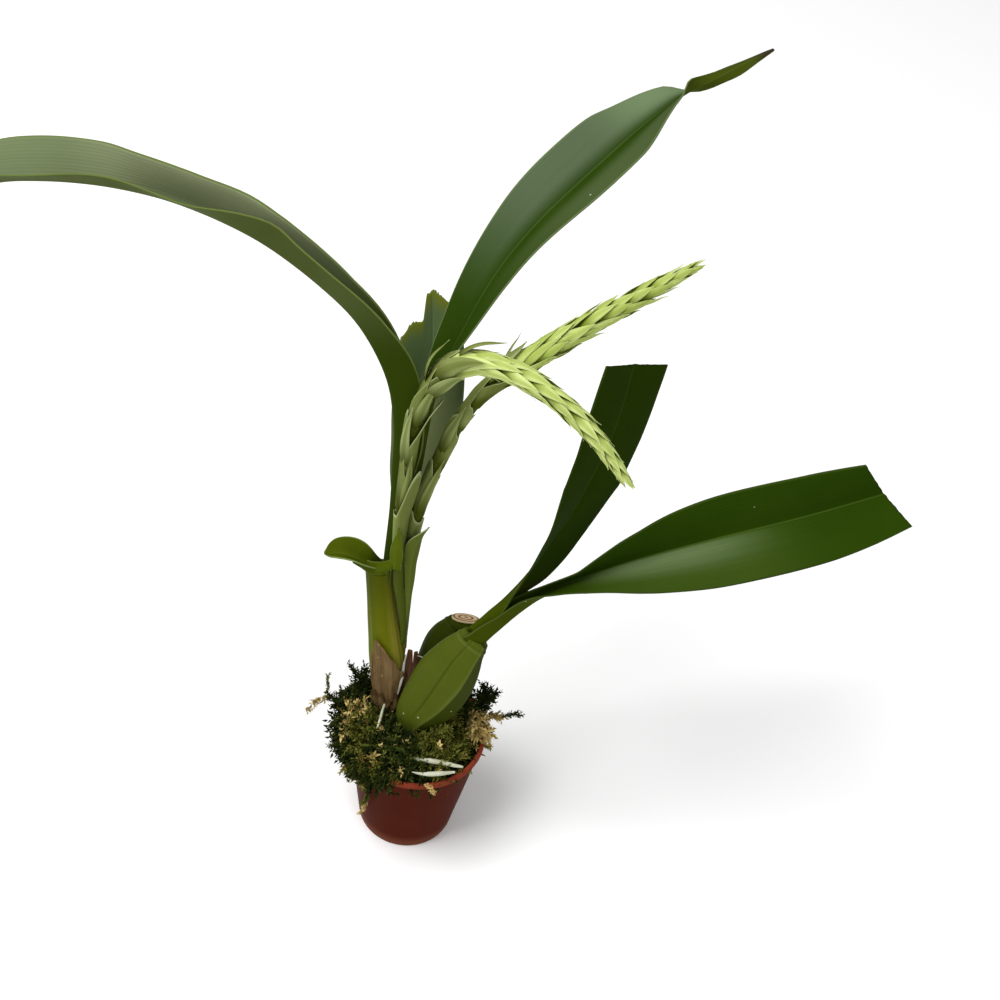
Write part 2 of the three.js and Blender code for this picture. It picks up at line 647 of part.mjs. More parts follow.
const LEAVES = {
  leaf_left: {
    path: [
      [-21, 9, 126], [-21, 9, 131], [-21.2, 12, 160], [-21.8, 12, 180], [-23, 12.4, 200],
      [-27.4, 13.6, 218.2], [-37.8, 16, 234.6], [-50.7, 19, 244.2], [-73.2, 25, 253.3],
      [-98.8, 31.5, 256.7], [-124.7, 38, 253.9], [-151.3, 45, 246.4], [-166, 49.5, 240],
      [-196, 57, 222], [-222, 62, 198],
    ],
    faces: [[1, -0.1, 0.1], [0.8, -0.2, 0.6], [0.35, -0.22, 0.95], [0, 0, 1], [-0.25, 0, 1]],
    halfWidth: 14,
    outlines: [
      [[0, 0.26], [0.12, 0.45], [0.22, 0.84], [0.32, 1], [0.6, 0.96], [0.72, 1], [0.82, 0.95],
        [0.92, 0.55], [0.97, 0.24], [1, 0.03]],
      [[0, 0.15], [0.12, 0.38], [0.22, 0.62], [0.31, 0.68], [0.35, 0.78], [0.4, 0.9], [0.47, 1.1],
        [0.53, 1], [0.72, 1], [0.82, 0.95], [0.92, 0.55], [0.97, 0.24], [1, 0.03]],
    ],
    folds: [
      [[0, 58], [0.15, 72], [0.25, 82], [0.32, 82], [0.39, 72], [0.46, 80], [0.5, 66], [0.55, 50],
        [0.62, 52], [0.7, 40], [0.8, 34], [1, 40]],
      [[0, 62], [0.15, 76], [0.25, 86], [0.36, 88], [0.46, 92], [0.55, 94], [0.6, 88], [0.65, 70],
        [0.72, 60], [0.8, 56], [1, 45]],
    ],
    hidden: GROWTH_CLEAR,
    stations: LONG_LEAF_STATIONS,
    colour: COLOURS.leaf,
  },
  leaf_right: {
    path: [
      [-16, 8.6, 126], [-16, 8.6, 131], [-13.8, 10.6, 158], [-12.6, 14.5, 180], [-10.8, 22, 214],
      [-4.7, 30.5, 233.9], [2.3, 43, 246.9], [11.9, 58, 257.2], [24.7, 74, 267.7], [40.8, 95, 278.4],
      [51.7, 105, 286.1], [60.4, 110, 290.4], [79, 120, 300.5],
    ],
    faces: [[-0.9, 0.3, 0.2], [-0.7, -0.3, 0.5], [-0.55, -0.4, 0.75], [-0.5, -0.35, 0.8], [-0.8, 0, 0.5]],
    twist: [[0, 0], [0.85, 0], [0.893, -80], [0.93, -142], [1, -152]],
    halfWidth: 14,
    outlines: [
      [[0, 0.2], [0.21, 0.2], [0.3, 0.3], [0.4, 0.5], [0.5, 0.73], [0.6, 0.97], [0.68, 1.03],
        [0.76, 1], [0.82, 0.8], [0.86, 0.5], [0.89, 0.24], [0.945, 0.18], [1, 0.03]],
      [[0, 0.2], [0.21, 0.2], [0.3, 0.36], [0.4, 0.55], [0.5, 0.74], [0.6, 0.97], [0.68, 1.03],
        [0.76, 0.99], [0.82, 0.74], [0.86, 0.46], [0.89, 0.24], [0.945, 0.28], [1, 0.03]],
    ],
    folds: [
      [[0, 80], [0.21, 80], [0.33, 50], [0.42, 22], [0.55, 22], [0.65, 34], [0.74, 32], [0.8, 24],
        [1, 30]],
      [[0, 80], [0.21, 80], [0.33, 56], [0.42, 38], [0.55, 33], [0.66, 28], [0.78, 26], [1, 30]],
    ],
    hidden: GROWTH_CLEAR,
    stations: LONG_LEAF_STATIONS,
    colour: COLOURS.leaf,
  },
  leaf_back: {
    path: [
      [-18.4, 13.4, 130.9], [-15.2, 20, 171], [-13.9, 26, 187.6], [-15.8, 38, 216], [-18.8, 46, 231.6],
    ],
    faces: [[0, -1, 0.2], [0, -1, 0.45]],
    halfWidth: 12.3,
    outlines: [[[0, 0.2], [0.2, 0.36], [0.46, 0.85], [0.65, 1.04], [0.85, 0.9], [1, 0.62]]],
    folds: [[[0, 50], [0.5, 28], [1, 22]]],
    ends: (line) => along(TORN_TOP, line),
    lines: [-1, -0.65, -0.3, -0.15, 0, 0.12, 0.4, 0.75, 1],
    colour: COLOURS.leafPale,
  },
  leaf_cut_wide: {
    path: [
      [18.6, -1.4, 112.9], [21.6, 0, 117.4], [24.4, 1.6, 120.8], [30.3, 5.4, 127.3], [38.3, 10.6, 133.5],
      [44, 13, 137.5], [64.5, 20, 147.3], [93, 29, 157.7], [125.6, 39, 168.6], [158, 50, 180.5],
    ],
    faces: [
      [-0.65, 0.2, 0.73], [-0.5, -0.1, 0.8], [-0.1, -0.6, 0.74], ...Array(5).fill([0, -0.72, 0.69]),
    ],
    halfWidth: 17.3,
    outlines: [
      [[0, 0.34], [0.2, 0.36], [0.27, 0.4], [0.32, 0.54], [0.4, 0.79], [0.5, 0.96], [0.62, 1.04],
        [0.8, 1.03], [0.9, 0.94], [1, 0.78]],
      [[0, 0.34], [0.2, 0.4], [0.27, 0.47], [0.32, 0.58], [0.4, 0.79], [0.5, 0.96], [0.62, 1.04],
        [0.8, 1.05], [0.9, 0.96], [1, 0.8]],
    ],
    folds: [
      [[0, 62], [0.12, 64], [0.22, 72], [0.28, 76], [0.34, 68], [0.4, 57], [0.5, 43], [0.62, 38],
        [0.8, 41], [1, 45]],
      [[0, 62], [0.12, 62], [0.22, 56], [0.28, 48], [0.34, 42], [0.4, 34], [0.5, 26], [0.62, 11],
        [0.8, 4], [1, 14]],
    ],
    ends: (line) => 0.956 + 0.034 * line,
    stations: CUT_LEAF_STATIONS,
    colour: COLOURS.leaf,
  },
  leaf_cut_tall: {
    path: [
      [13.6, 0.4, 119.6], [16.4, 1.8, 123], [19.4, 3.4, 127], [24, 5.8, 132.6], [30.8, 10.6, 142.8],
      [36.5, 16.5, 154], [41.5, 21, 165.5], [47.4, 27, 186.7], [50, 31, 199.5], [52, 40, 221.5],
    ],
    faces: [
      [0.65, -0.2, -0.73], [0.65, -0.2, -0.73], [0.75, -0.5, -0.4], ...Array(3).fill([0.74, -0.64, 0.2]),
    ],
    halfWidth: 16.5,
    outlines: [
      [[0, 0.2], [0.18, 0.21], [0.27, 0.38], [0.35, 0.6], [0.45, 0.73], [0.55, 0.82], [0.7, 0.92],
        [1, 0.95]],
      [[0, 0.2], [0.18, 0.21], [0.27, 0.42], [0.35, 0.66], [0.45, 0.79], [0.55, 0.88], [0.7, 0.94],
        [1, 0.99]],
    ],
    folds: [
      [[0, 84], [0.18, 80], [0.26, 34], [0.34, 0], [0.42, 2], [0.6, 10], [0.8, 2], [1, 7]],
      [[0, 84], [0.18, 80], [0.3, 52], [0.35, 42], [0.45, 26], [0.55, 14], [0.7, 7], [1, 8]],
    ],
    stations: CUT_LEAF_STATIONS,
    colour: COLOURS.leaf,
  },
  leaf_bract: {
    path: [
      [-22.8, 6.2, 131.2], [-24, 5.4, 135], [-27.4, 4.7, 138.8], [-32.2, 4.3, 141.4], [-35.8, 4.1, 142.2],
      [-39, 4, 141.9], [-42, 3.5, 141.2],
    ],
    faces: [[0.8, 0, 0.6], [0.2, -0.2, 1], [0, -0.2, 1], [0, -0.2, 1]],
    halfWidth: 7,
    outlines: [[[0, 0.36], [0.25, 0.6], [0.6, 1], [0.85, 0.7], [1, 0.06]]],
    folds: [[[0, 70], [0.4, 58], [1, 40]]],
    stations: BRACT_STATIONS,
    colour: COLOURS.leaf,
  },
  bract_small: {
    path: [[-10.2, 4, 118], [-10.6, 3.2, 135], [-10.9, 2.6, 147], [-10, 1.8, 156], [-6.2, 0.6, 166.6]],
    faces: [[-0.2, 1, 0.1], [-0.2, 1, 0.1], [-0.5, 0.5, 0.6]],
    halfWidth: 3,
    outlines: [[[0, 0.6], [0.6, 1], [1, 0.1]]],
    folds: [[[0, 28], [1, 35]]],
    stations: BRACT_STATIONS,
    colour: COLOURS.leaf,
  },
};

const SPIKES = {
  spike_arching: {
    path: [
      [-17.4, 4, 131], [-16.8, 3.4, 163], [-16.2, 3.4, 190], [-15.2, 4.4, 211], [-12, 5.4, 224],
      [-6.5, 6, 232.5], [2.5, 5, 237.4], [15, 3, 236.6], [28.4, 0, 232], [43, -3, 221.6], [54.9, -6, 209],
    ],
    faces: [[0, -1, 0.1], [0, -1, 0.2], [0, -0.9, 0.4]],
    headStart: 0.56,
    sheaths: [
      [0.01, 90, 2.9], [0.12, 20, 2.2], [0.24, 200, 2.1], [0.34, 60, 2], [0.43, 170, 1.8], [0.49, 300, 1.6],
      [0.53, 30, 1.4], [0.55, 110, 1.3],
    ],
    seed: 3,
  },
  spike_straight: {
    path: [
      [-10.2, 8.4, 106], [-11.2, 7.4, 118], [-12.4, 6.5, 150], [-10.4, 8, 172.4], [-6.8, 10, 188],
      [-2.8, 13, 202], [2.8, 16, 214], [10.6, 20, 222], [23.9, 28, 232], [36.6, 35, 240], [51, 44, 247.4],
      [64.8, 52, 255],
    ],
    faces: [[0, -1, 0.1], [0, -1, 0.4], [0, -0.8, 0.6]],
    headStart: 0.6,
    sheaths: [[0.25, 0, 2.2], [0.33, 180, 2.1], [0.41, 20, 1.9], [0.49, 200, 1.7], [0.56, 100, 1.4]],
    seed: 8,
  },
};

const group = new THREE.Group();

function add(name, geometry, colour, roughness) {
  const material = new THREE.MeshStandardMaterial({ color: colour, roughness, metalness: 0 });
  const mesh = new THREE.Mesh(geometry, material);
  mesh.name = name;
  group.add(mesh);
}

add('pot', pot(), COLOURS.pot, 0.45);
add('bark_fill', fill(), COLOURS.fill, 0.95);
add('moss', moss(), COLOURS.moss, 0.95);
for (const [name, path] of Object.entries(ROOTS)) {
  add(name, tube(path, ROOT_RADIUS, ROOT_SIDES, ROOT_STEPS), COLOURS.root, 0.6);
}
add('rhizome', tube(RHIZOME_PATH, RHIZOME_RADIUS, ROOT_SIDES, ROOT_STEPS), COLOURS.rhizome, 0.8);
add('bulb_front', pseudobulb(FRONT_BULB, BULB_SHAPE), COLOURS.bulb, 0.45);
add('bulb_rear', pseudobulb(REAR_BULB, REAR_SHAPE), COLOURS.oldBulb, 0.45);
add('cut_stub', cutStub(), COLOURS.cutEnd, 0.8);
add('new_growth', newGrowth(), COLOURS.growth, 0.45);
add('papery_sheath', paperySheath(), COLOURS.paper, 0.85);
for (const [name, leaf] of Object.entries(LEAVES)) {
  add(name, blade(leaf), leaf.colour, 0.4);
}
for (const [name, form] of Object.entries(SPIKES)) {
  add(name, spike(form), COLOURS.bract, 0.5);
}

export default group;
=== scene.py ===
# A potted Gomesa crispa in bud: a small clay-coloured plastic pot with moss,
# two older pseudobulbs, a new growth with its leaves, two cut leaves and two
# flower spikes. Sizes are in millimetres and are turned to metres at the end
# of each piece's making; the origin is under the pot, +Z up.

import math
import random
from bisect import bisect_right
from functools import cache

import bmesh
import bpy
from mathutils import Matrix, Quaternion, Vector, noise


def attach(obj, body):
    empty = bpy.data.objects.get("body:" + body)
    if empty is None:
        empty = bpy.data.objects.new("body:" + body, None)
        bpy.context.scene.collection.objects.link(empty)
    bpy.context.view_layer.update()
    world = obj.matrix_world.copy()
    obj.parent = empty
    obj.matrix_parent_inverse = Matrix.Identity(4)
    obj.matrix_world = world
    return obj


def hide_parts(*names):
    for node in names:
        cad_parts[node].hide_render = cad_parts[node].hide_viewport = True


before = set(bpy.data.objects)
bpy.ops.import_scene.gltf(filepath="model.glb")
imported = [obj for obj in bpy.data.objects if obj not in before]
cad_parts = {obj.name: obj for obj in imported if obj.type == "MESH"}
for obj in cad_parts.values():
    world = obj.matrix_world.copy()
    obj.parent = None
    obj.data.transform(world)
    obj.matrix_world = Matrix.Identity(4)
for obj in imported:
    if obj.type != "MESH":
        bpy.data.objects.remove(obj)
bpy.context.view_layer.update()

MM = 0.001

# The camera: where it stands, its axes and its lens, as the photo was taken
CAMERA_PLACE = (15.9, -334.7, 506.4)
CAMERA_TILT = 43.75
CAMERA_ROLL = 10.46
LENS = 50.4
SENSOR = 36.0

# The pot and what fills it
POT_HEIGHT = 55.0
POT_BASE_RADIUS = 19.4
POT_LIP_RADIUS = 27.5
POT_LIP_HEIGHT = 2.6
POT_LIP_PROUD = 0.7
POT_WALL = 1.1
POT_FLOOR = 1.6
DRAIN_HOLES = 4
DRAIN_HOLE_RADIUS = 2.0
DRAIN_RING_RADIUS = 11.5
MOSS_EDGE = 57.0
MOSS_CROWN = 61.5

# The studio
SKY_STRENGTH = 0.42
KEY_POWER = 74
FILL_POWER = 12

# Numbers of the fine work
LEAF_THICKNESS = 0.5
LEAF_COLUMNS = 32
LEAF_ROWS = 110
RING_PLACE = 0.955
BRACT_PITCH = 1.25
GOLDEN_ANGLE = 137.5
MOSS_STRANDS = 1650
TIP_PALER = 0.35
STRAND_PATTERNS = 8
STRAND_LEAFLETS = 9
LEAFLET_POINTS = 5
LEAFLET_TIP = 2

# What the random draws start from
PAPER_SEED = 5
ARCHING_SEED = 3
STRAIGHT_SEED = 8
MOSS_SEED = 21


# Small tools: lines, grids and finishing


def eased(pairs, place):
    """Reads a value from (place, value) pairs, eased between neighbours."""
    if place <= pairs[0][0]:
        return pairs[0][1]
    for (before, low), (after, high) in zip(pairs, pairs[1:]):
        if place <= after:
            part = (place - before) / (after - before)
            return low + (high - low) * part * part * (3 - 2 * part)
    return pairs[-1][1]


def flowing(pairs, place):
    """Reads a value from (place, value) pairs along one smooth line."""
    slopes = []
    for index in range(len(pairs)):
        before = pairs[max(index - 1, 0)]
        after = pairs[min(index + 1, len(pairs) - 1)]
        slopes.append((after[1] - before[1]) / (after[0] - before[0]))
    if place <= pairs[0][0]:
        return pairs[0][1]
    for index, ((before, low), (after, high)) in enumerate(zip(pairs, pairs[1:])):
        if place <= after:
            span = after - before
            part = (place - before) / span
            ease = part * part * (3 - 2 * part)
            leave = slopes[index] * span * part * (1 - part) ** 2
            arrive = slopes[index + 1] * span * part * part * (1 - part)
            return low + (high - low) * ease + leave - arrive
    return pairs[-1][1]


def ramp(value, low, high):
    """0 below low, 1 above high, eased between."""
    part = min(1.0, max(0.0, (value - low) / (high - low)))
    return part * part * (3 - 2 * part)


def around(angle, radius, height):
    """A point at an angle round the pot's axis."""
    return Vector((math.cos(angle) * radius, math.sin(angle) * radius, height))


def mixed(directions, place):
    """A direction from a row of them spread evenly from place 0 to place 1."""
    spot = min(max(place, 0.0), 1.0) * (len(directions) - 1)
    first = min(int(spot), len(directions) - 2)
    here, after = Vector(directions[first]), Vector(directions[first + 1])
    return here.lerp(after, spot - first).normalized()


def between(four, part):
    """A point on the smooth line from the second to the third of four points."""
    steps = [max(1e-4, (b - a).length) ** 0.5 for a, b in zip(four, four[1:])]
    before, here, after, beyond = four
    first, middle, last = steps
    leave = (here - before) / first - (after - before) / (first + middle) + (after - here) / middle
    arrive = (after - here) / middle - (beyond - here) / (middle + last) + (beyond - after) / last
    leave, arrive = leave * middle, arrive * middle
    bend = -3 * here + 3 * after - 2 * leave - arrive
    twist = 2 * here - 2 * after + leave + arrive
    return here + leave * part + bend * part ** 2 + twist * part ** 3


class Spine:
    """A smooth line through points, walked by share of its length, with the
    way its upper face looks at each place."""

    STEPS = 30

    def __init__(self, points, faces=((0, 0, 1), (0, 0, 1)), twist=((0, 0), (1, 0))):
        knots = [Vector(point) for point in points]
        self.twist = twist
        knots = [2 * knots[0] - knots[1], *knots, 2 * knots[-1] - knots[-2]]
        self.faces = faces
        self.points = []
        for four in zip(knots, knots[1:], knots[2:], knots[3:]):
            self.points += [between(four, step / self.STEPS) for step in range(self.STEPS)]
        self.points.append(knots[-2])
        self.lengths = [0.0]
        for a, b in zip(self.points, self.points[1:]):
            self.lengths.append(self.lengths[-1] + (b - a).length)
        self.length = self.lengths[-1]

    def point(self, place):
        target = min(max(place, 0.0), 1.0) * self.length
        index = min(max(bisect_right(self.lengths, target) - 1, 0), len(self.points) - 2)
        span = self.lengths[index + 1] - self.lengths[index]
        part = (target - self.lengths[index]) / span if span else 0.0
        return self.points[index].lerp(self.points[index + 1], part)

    def tangent(self, place):
        step = 0.004
        return (self.point(place + step) - self.point(place - step)).normalized()

    @cache
    def frame(self, place):
        """Point, tangent, face and side at a place."""
        tangent = self.tangent(place)
        face = mixed(self.faces, place)
        face = (face - tangent * face.dot(tangent)).normalized()
        face.rotate(Quaternion(tangent, math.radians(flowing(self.twist, place))))
        return self.point(place), tangent, face, tangent.cross(face).normalized()


def only(piece):
    """Selects one piece and makes it active."""
    bpy.ops.object.select_all(action="DESELECT")
    piece.select_set(True)
    bpy.context.view_layer.objects.active = piece


def grid(name, columns, rows):
    """A unit grid with its own UV map: u runs across, v along."""
    bpy.ops.object.select_all(action="DESELECT")
    bpy.ops.mesh.primitive_grid_add(x_subdivisions=columns, y_subdivisions=rows, size=1)
    piece = bpy.context.object
    piece.name = name
    piece.data.name = name
    return piece


def settle(piece, place):
    """Moves each vertex of a unit grid to place(across, along), both 0 to 1."""
    for vertex in piece.data.vertices:
        vertex.co = place(vertex.co.x + 0.5, vertex.co.y + 0.5)
    piece.data.update()


def close_seams(piece, distance=0.001):
    """Merges the rows that meet and turns every face outwards."""
    only(piece)
    bpy.ops.object.mode_set(mode="EDIT")
    bpy.ops.mesh.select_all(action="SELECT")
    bpy.ops.mesh.remove_doubles(threshold=distance)
    bpy.ops.mesh.dissolve_degenerate(threshold=distance)
    bpy.ops.mesh.normals_make_consistent(inside=False)
    bpy.ops.object.mode_set(mode="OBJECT")


def thicken(piece, thickness, offset=0.0, under=0):
    """Gives a sheet its thickness; under is the step to its back's material."""
    solid = piece.modifiers.new("thickness", "SOLIDIFY")
    solid.thickness = thickness
    solid.offset = offset
    solid.material_offset = under
    only(piece)
    bpy.ops.object.modifier_apply(modifier=solid.name)


def joined(pieces, name):
    """One object from several."""
    bpy.ops.object.select_all(action="DESELECT")
    for piece in pieces:
        piece.select_set(True)
    bpy.context.view_layer.objects.active = pieces[0]
    if len(pieces) > 1:
        bpy.ops.object.join()
    pieces[0].name = name
    pieces[0].data.name = name
    return pieces[0]


def finished(piece, nodes=(), smooth=True):
    """Brings a piece to metres, rides it on the frame and hides its CAD nodes."""
    only(piece)
    if smooth:
        bpy.ops.object.shade_smooth()
    piece.data.transform(Matrix.Scale(MM, 4))
    piece.data.update()
    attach(piece, "root")
    if nodes:
        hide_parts(*nodes)


def dress(piece, *materials):
    """Gives a piece its materials, in order."""
    piece.data.materials.clear()
    for material in materials:
        piece.data.materials.append(material)


def tinted(piece, value):
    """A number kept on a piece's points, which its material reads."""
    layer = piece.data.attributes.get("tint") or piece.data.attributes.new("tint", "FLOAT", "POINT")
    layer.data.foreach_set("value", [value] * len(piece.data.vertices))


def swept(name, spine, rings, sides, crest=None):
    """A closed rod along a spine. rings gives (place, half width, half depth);
    a ring of no width closes an end. crest(angle, place) swells it."""
    count = len(rings) - 1
    rod = grid(name, sides, count)

    def place(across, along):
        at, wide, deep = rings[round(along * count)]
        angle = across * 2 * math.pi
        swell = crest(angle, at) if crest else 1.0
        middle, _, face, side = spine.frame(at)
        return middle + side * math.cos(angle) * wide * swell + face * math.sin(angle) * deep * swell

    settle(rod, place)
    close_seams(rod)
    return rod


def even_rings(count, across, through, first=0.0, last=1.0):
    """Rings spaced evenly along a spine, closed at both ends."""
    rings = [(first, 0.0, 0.0)]
    for index in range(count + 1):
        place = first + (last - first) * index / count
        rings.append((place, across(place), through(place)))
    rings.append((last, 0.0, 0.0))
    return rings


# Finishes

NUMBER = "NodeSocketFloat"
POINT = "NodeSocketVector"

# How strongly a surface reflects: on the plant and the pot, more than this turns the colours milky
LEAF_SHEEN = 0.005
POT_SHEEN = 0.006
SHEEN = 0.012
FULL_SHEEN = 0.5


class Maker:
    """Adds nodes to a tree and wires them in one call."""

    def __init__(self, tree):
        self.nodes = tree.nodes
        self.links = tree.links

    def wire(self, socket, value):
        """Feeds a socket from another node's output, or sets its own value."""
        if isinstance(value, bpy.types.NodeSocket):
            self.links.new(value, socket)
        elif isinstance(value, tuple) and len(value) == 3 and socket.type == "RGBA":
            socket.default_value = (*value, 1.0)
        else:
            socket.default_value = value

    def add(self, kind, settings=None, **inputs):
        """Adds a node; an input's name has _ for its space."""
        node = self.nodes.new(kind)
        for key, value in (settings or {}).items():
            setattr(node, key, value)
        for key, value in inputs.items():
            self.wire(node.inputs[key.replace("_", " ")], value)
        return node

    def maths(self, way, *values):
        """One step of arithmetic; gives back its result."""
        node = self.nodes.new("ShaderNodeMath")
        node.operation = way
        for socket, value in zip(node.inputs, values):
            self.wire(socket, value)
        return node.outputs[0]

    def axes(self, point):
        """A point's or a UV map's X, Y and Z."""
        return self.add("ShaderNodeSeparateXYZ", Vector=point).outputs

    def faded(self, value, empty, full):
        """A mask from a value: 0 where it is empty, 1 where it is full."""
        smooth = {"interpolation_type": "SMOOTHSTEP"}
        return self.add("ShaderNodeMapRange", smooth, Value=value, From_Min=empty, From_Max=full).outputs[0]


class Finish(Maker):
    """A material under making: its colours are laid one over another."""

    def __init__(self, name, colour):
        self.material = bpy.data.materials.new(name)
        self.material.use_nodes = True
        super().__init__(self.material.node_tree)
        self.shader = self.nodes["Principled BSDF"]
        self.colour = colour

    def uv(self):
        return self.add("ShaderNodeUVMap").outputs[0]

    def kept(self, label):
        """A number that is kept on the piece itself."""
        return self.add("ShaderNodeAttribute", {"attribute_name": label}).outputs["Fac"]

    def effect(self, group, **inputs):
        return self.add("ShaderNodeGroup", {"node_tree": group}, **inputs).outputs

    def blend(self, mask, first, second):
        """A colour between two."""
        node = self.nodes.new("ShaderNodeMix")
        node.data_type = "RGBA"
        self.wire(node.inputs[0], mask)
        self.wire(node.inputs[6], first)
        self.wire(node.inputs[7], second)
        return node.outputs[2]

    def lay(self, shade, mask, strength=1.0):
        """Lays a colour over the ones so far, where the mask is."""
        if strength != 1.0:
            mask = self.maths("MULTIPLY", mask, strength)
        self.colour = self.blend(mask, self.colour, shade)

    def within(self, uv, axis, *edges):
        """1 inside a stretch of a UV map, 0 outside. Edges come in pairs: where
        the mask is still 0 and where it has become 1; a second pair ends it."""
        value = self.axes(uv)[axis]
        mask = self.faded(value, *edges[:2])
        if len(edges) > 2:
            mask = self.maths("MULTIPLY", mask, self.faded(value, *edges[2:]))
        return mask

    def surface(self, roughness, sheen=SHEEN):
        """Gives the shader its colour, its roughness and its reflection."""
        self.wire(self.shader.inputs["Base Color"], self.colour)
        self.wire(self.shader.inputs["Roughness"], roughness)
        self.wire(self.shader.inputs["Specular IOR Level"], sheen)

    def bump(self, height, strength, distance):
        """Feeds a height to the shader's normal."""
        bump = self.add("ShaderNodeBump", Height=height, Strength=strength, Distance=distance * MM)
        self.wire(self.shader.inputs["Normal"], bump.outputs[0])


class Group(Maker):
    """An effect under making, with named inputs and outputs."""

    def __init__(self, name, inputs, outputs):
        self.tree = bpy.data.node_groups.new(name, "ShaderNodeTree")
        super().__init__(self.tree)
        for label, kind, value in inputs:
            socket = self.tree.interface.new_socket(label, in_out="INPUT", socket_type=kind)
            if value is not None:
                socket.default_value = value
        for label in outputs:
            self.tree.interface.new_socket(label, in_out="OUTPUT", socket_type=NUMBER)
        self.given = self.nodes.new("NodeGroupInput").outputs
        self.result = self.nodes.new("NodeGroupOutput").inputs

    def out(self, name, value):
        self.wire(self.result[name], value)


def lengthwise_veins():
    """Fine lines that run along a leaf or sheath, by its UV map."""
    group = Group(
        "lengthwise veins",
        [("UV", POINT, None), ("Lines", NUMBER, 24.0), ("Wander", NUMBER, 0.6), ("Stretch", NUMBER, 3.0)],
        ["Lines", "Streaks"],
    )
    axes = group.axes(group.given["UV"])
    along = group.maths("MULTIPLY", axes["Y"], group.given["Stretch"])
    across = group.maths("MULTIPLY", axes["X"], group.given["Lines"])
    spot = group.add("ShaderNodeCombineXYZ", X=across, Y=along).outputs[0]
    wobble = group.add("ShaderNodeTexNoise", Vector=spot, Scale=0.35, Detail=2.0)
    shift = group.maths("MULTIPLY", wobble.outputs["Fac"], group.given["Wander"])
    turn = group.maths("MULTIPLY", group.maths("ADD", across, shift), 2 * math.pi)
    group.out("Lines", group.maths("MULTIPLY_ADD", group.maths("SINE", turn), 0.5, 0.5))
    streak = group.add("ShaderNodeTexNoise", Vector=spot, Scale=1.1, Detail=3.0, Roughness=0.6)
    group.out("Streaks", streak.outputs["Fac"])
    return group.tree


def line_across():
    """A line at one place across a UV map: 1 on it, 0 away from it."""
    group = Group(
        "line across",
        [("UV", POINT, None), ("Place", NUMBER, 0.5), ("Width", NUMBER, 0.01)],
        ["Mask"],
    )
    apart = group.maths("SUBTRACT", group.axes(group.given["UV"])["X"], group.given["Place"])
    share = group.maths("DIVIDE", group.maths("ABSOLUTE", apart), group.given["Width"])
    group.out("Mask", group.faded(share, 1.5, 0.5))
    return group.tree


def mottling():
    """Soft and fine blotches in the object's own space."""
    group = Group("mottling", [("Scale", NUMBER, 60.0), ("Contrast", NUMBER, 1.6)], ["Mask", "Fine"])
    place = group.add("ShaderNodeTexCoord").outputs["Object"]
    scale = group.given["Scale"]
    soft = group.add("ShaderNodeTexNoise", Vector=place, Scale=scale, Detail=4.0, Roughness=0.6)
    centred = group.maths("SUBTRACT", soft.outputs["Fac"], 0.5)
    strong = group.maths("MULTIPLY_ADD", centred, group.given["Contrast"], 0.5)
    group.out("Mask", group.maths("MINIMUM", group.maths("MAXIMUM", strong, 0.0), 1.0))
    finer = group.maths("MULTIPLY", scale, 9.0)
    fine = group.add("ShaderNodeTexNoise", Vector=place, Scale=finer, Detail=3.0, Roughness=0.65)
    group.out("Fine", fine.outputs["Fac"])
    return group.tree


def specks():
    """Scattered small specks of dust and scale, in the object's own space."""
    group = Group(
        "specks",
        [("Scale", NUMBER, 260.0), ("Size", NUMBER, 0.1), ("Share", NUMBER, 0.1)],
        ["Mask"],
    )
    place = group.add("ShaderNodeTexCoord").outputs["Object"]
    cell = group.add("ShaderNodeTexVoronoi", Vector=place, Scale=group.given["Scale"])
    near = group.maths("LESS_THAN", cell.outputs["Distance"], group.given["Size"])
    pick = group.add("ShaderNodeSeparateColor", Color=cell.outputs["Color"])
    chosen = group.maths("LESS_THAN", pick.outputs[0], group.given["Share"])
    group.out("Mask", group.maths("MULTIPLY", near, chosen))
    return group.tree


VEINS = lengthwise_veins()
LINE = line_across()
MOTTLE = mottling()
SPECKS = specks()


def leaf_finish(name, dark, light, rib, margin, gloss=0.42, lines=26.0, streaky=0.2, fades=(), painted_sheens=()):
    """A strap leaf: fine veins, a midrib line, a pale margin and soft mottling.
    fades are (colour, start, end) along it, as at its foot or its dry tip.
    The last argument gives (colour, strength, edges along, edges across) for each painted sheen:
    a painted highlight where a part of a blade catches the light, and painted light where a part is turned
    from it."""
    finish = Finish(name, dark)
    uv = finish.uv()
    veins = finish.effect(VEINS, UV=uv, Lines=lines, Wander=0.8, Stretch=2.2)
    mottle = finish.effect(MOTTLE, Scale=30.0, Contrast=1.5)
    finish.lay(light, mottle["Mask"])
    finish.lay(light, veins["Streaks"], streaky)
    # Each painted sheen: painted highlight and painted light, laid in streaky patches
    for shade, strength, along, across in painted_sheens:
        where = finish.maths("MULTIPLY", finish.within(uv, "Y", *along), finish.within(uv, "X", *across))
        patchy = finish.maths("MULTIPLY_ADD", veins["Streaks"], streaky, 0.9 - 0.5 * streaky)
        finish.lay(shade, finish.maths("MULTIPLY", where, patchy), strength)
    for shade, start, end in fades:
        finish.lay(shade, finish.within(uv, "Y", start, end))
    finish.lay(rib, veins["Lines"], 0.045)
    finish.lay(rib, finish.effect(LINE, UV=uv, Place=0.5, Width=0.008)["Mask"], 0.75)
    for side in (0.0, 1.0):
        finish.lay(margin, finish.effect(LINE, UV=uv, Place=side, Width=0.014)["Mask"])
    dust = finish.effect(SPECKS, Scale=190.0, Size=0.1, Share=0.035)
    finish.lay((0.5, 0.56, 0.46), dust["Mask"], 0.7)
    rough = finish.add("ShaderNodeMapRange", Value=veins["Streaks"], To_Min=gloss, To_Max=gloss + 0.14)
    finish.surface(rough.outputs[0], LEAF_SHEEN)
    finish.bump(finish.maths("MULTIPLY_ADD", veins["Streaks"], 1.2, veins["Lines"]), 0.22, 0.1)
    return finish.material


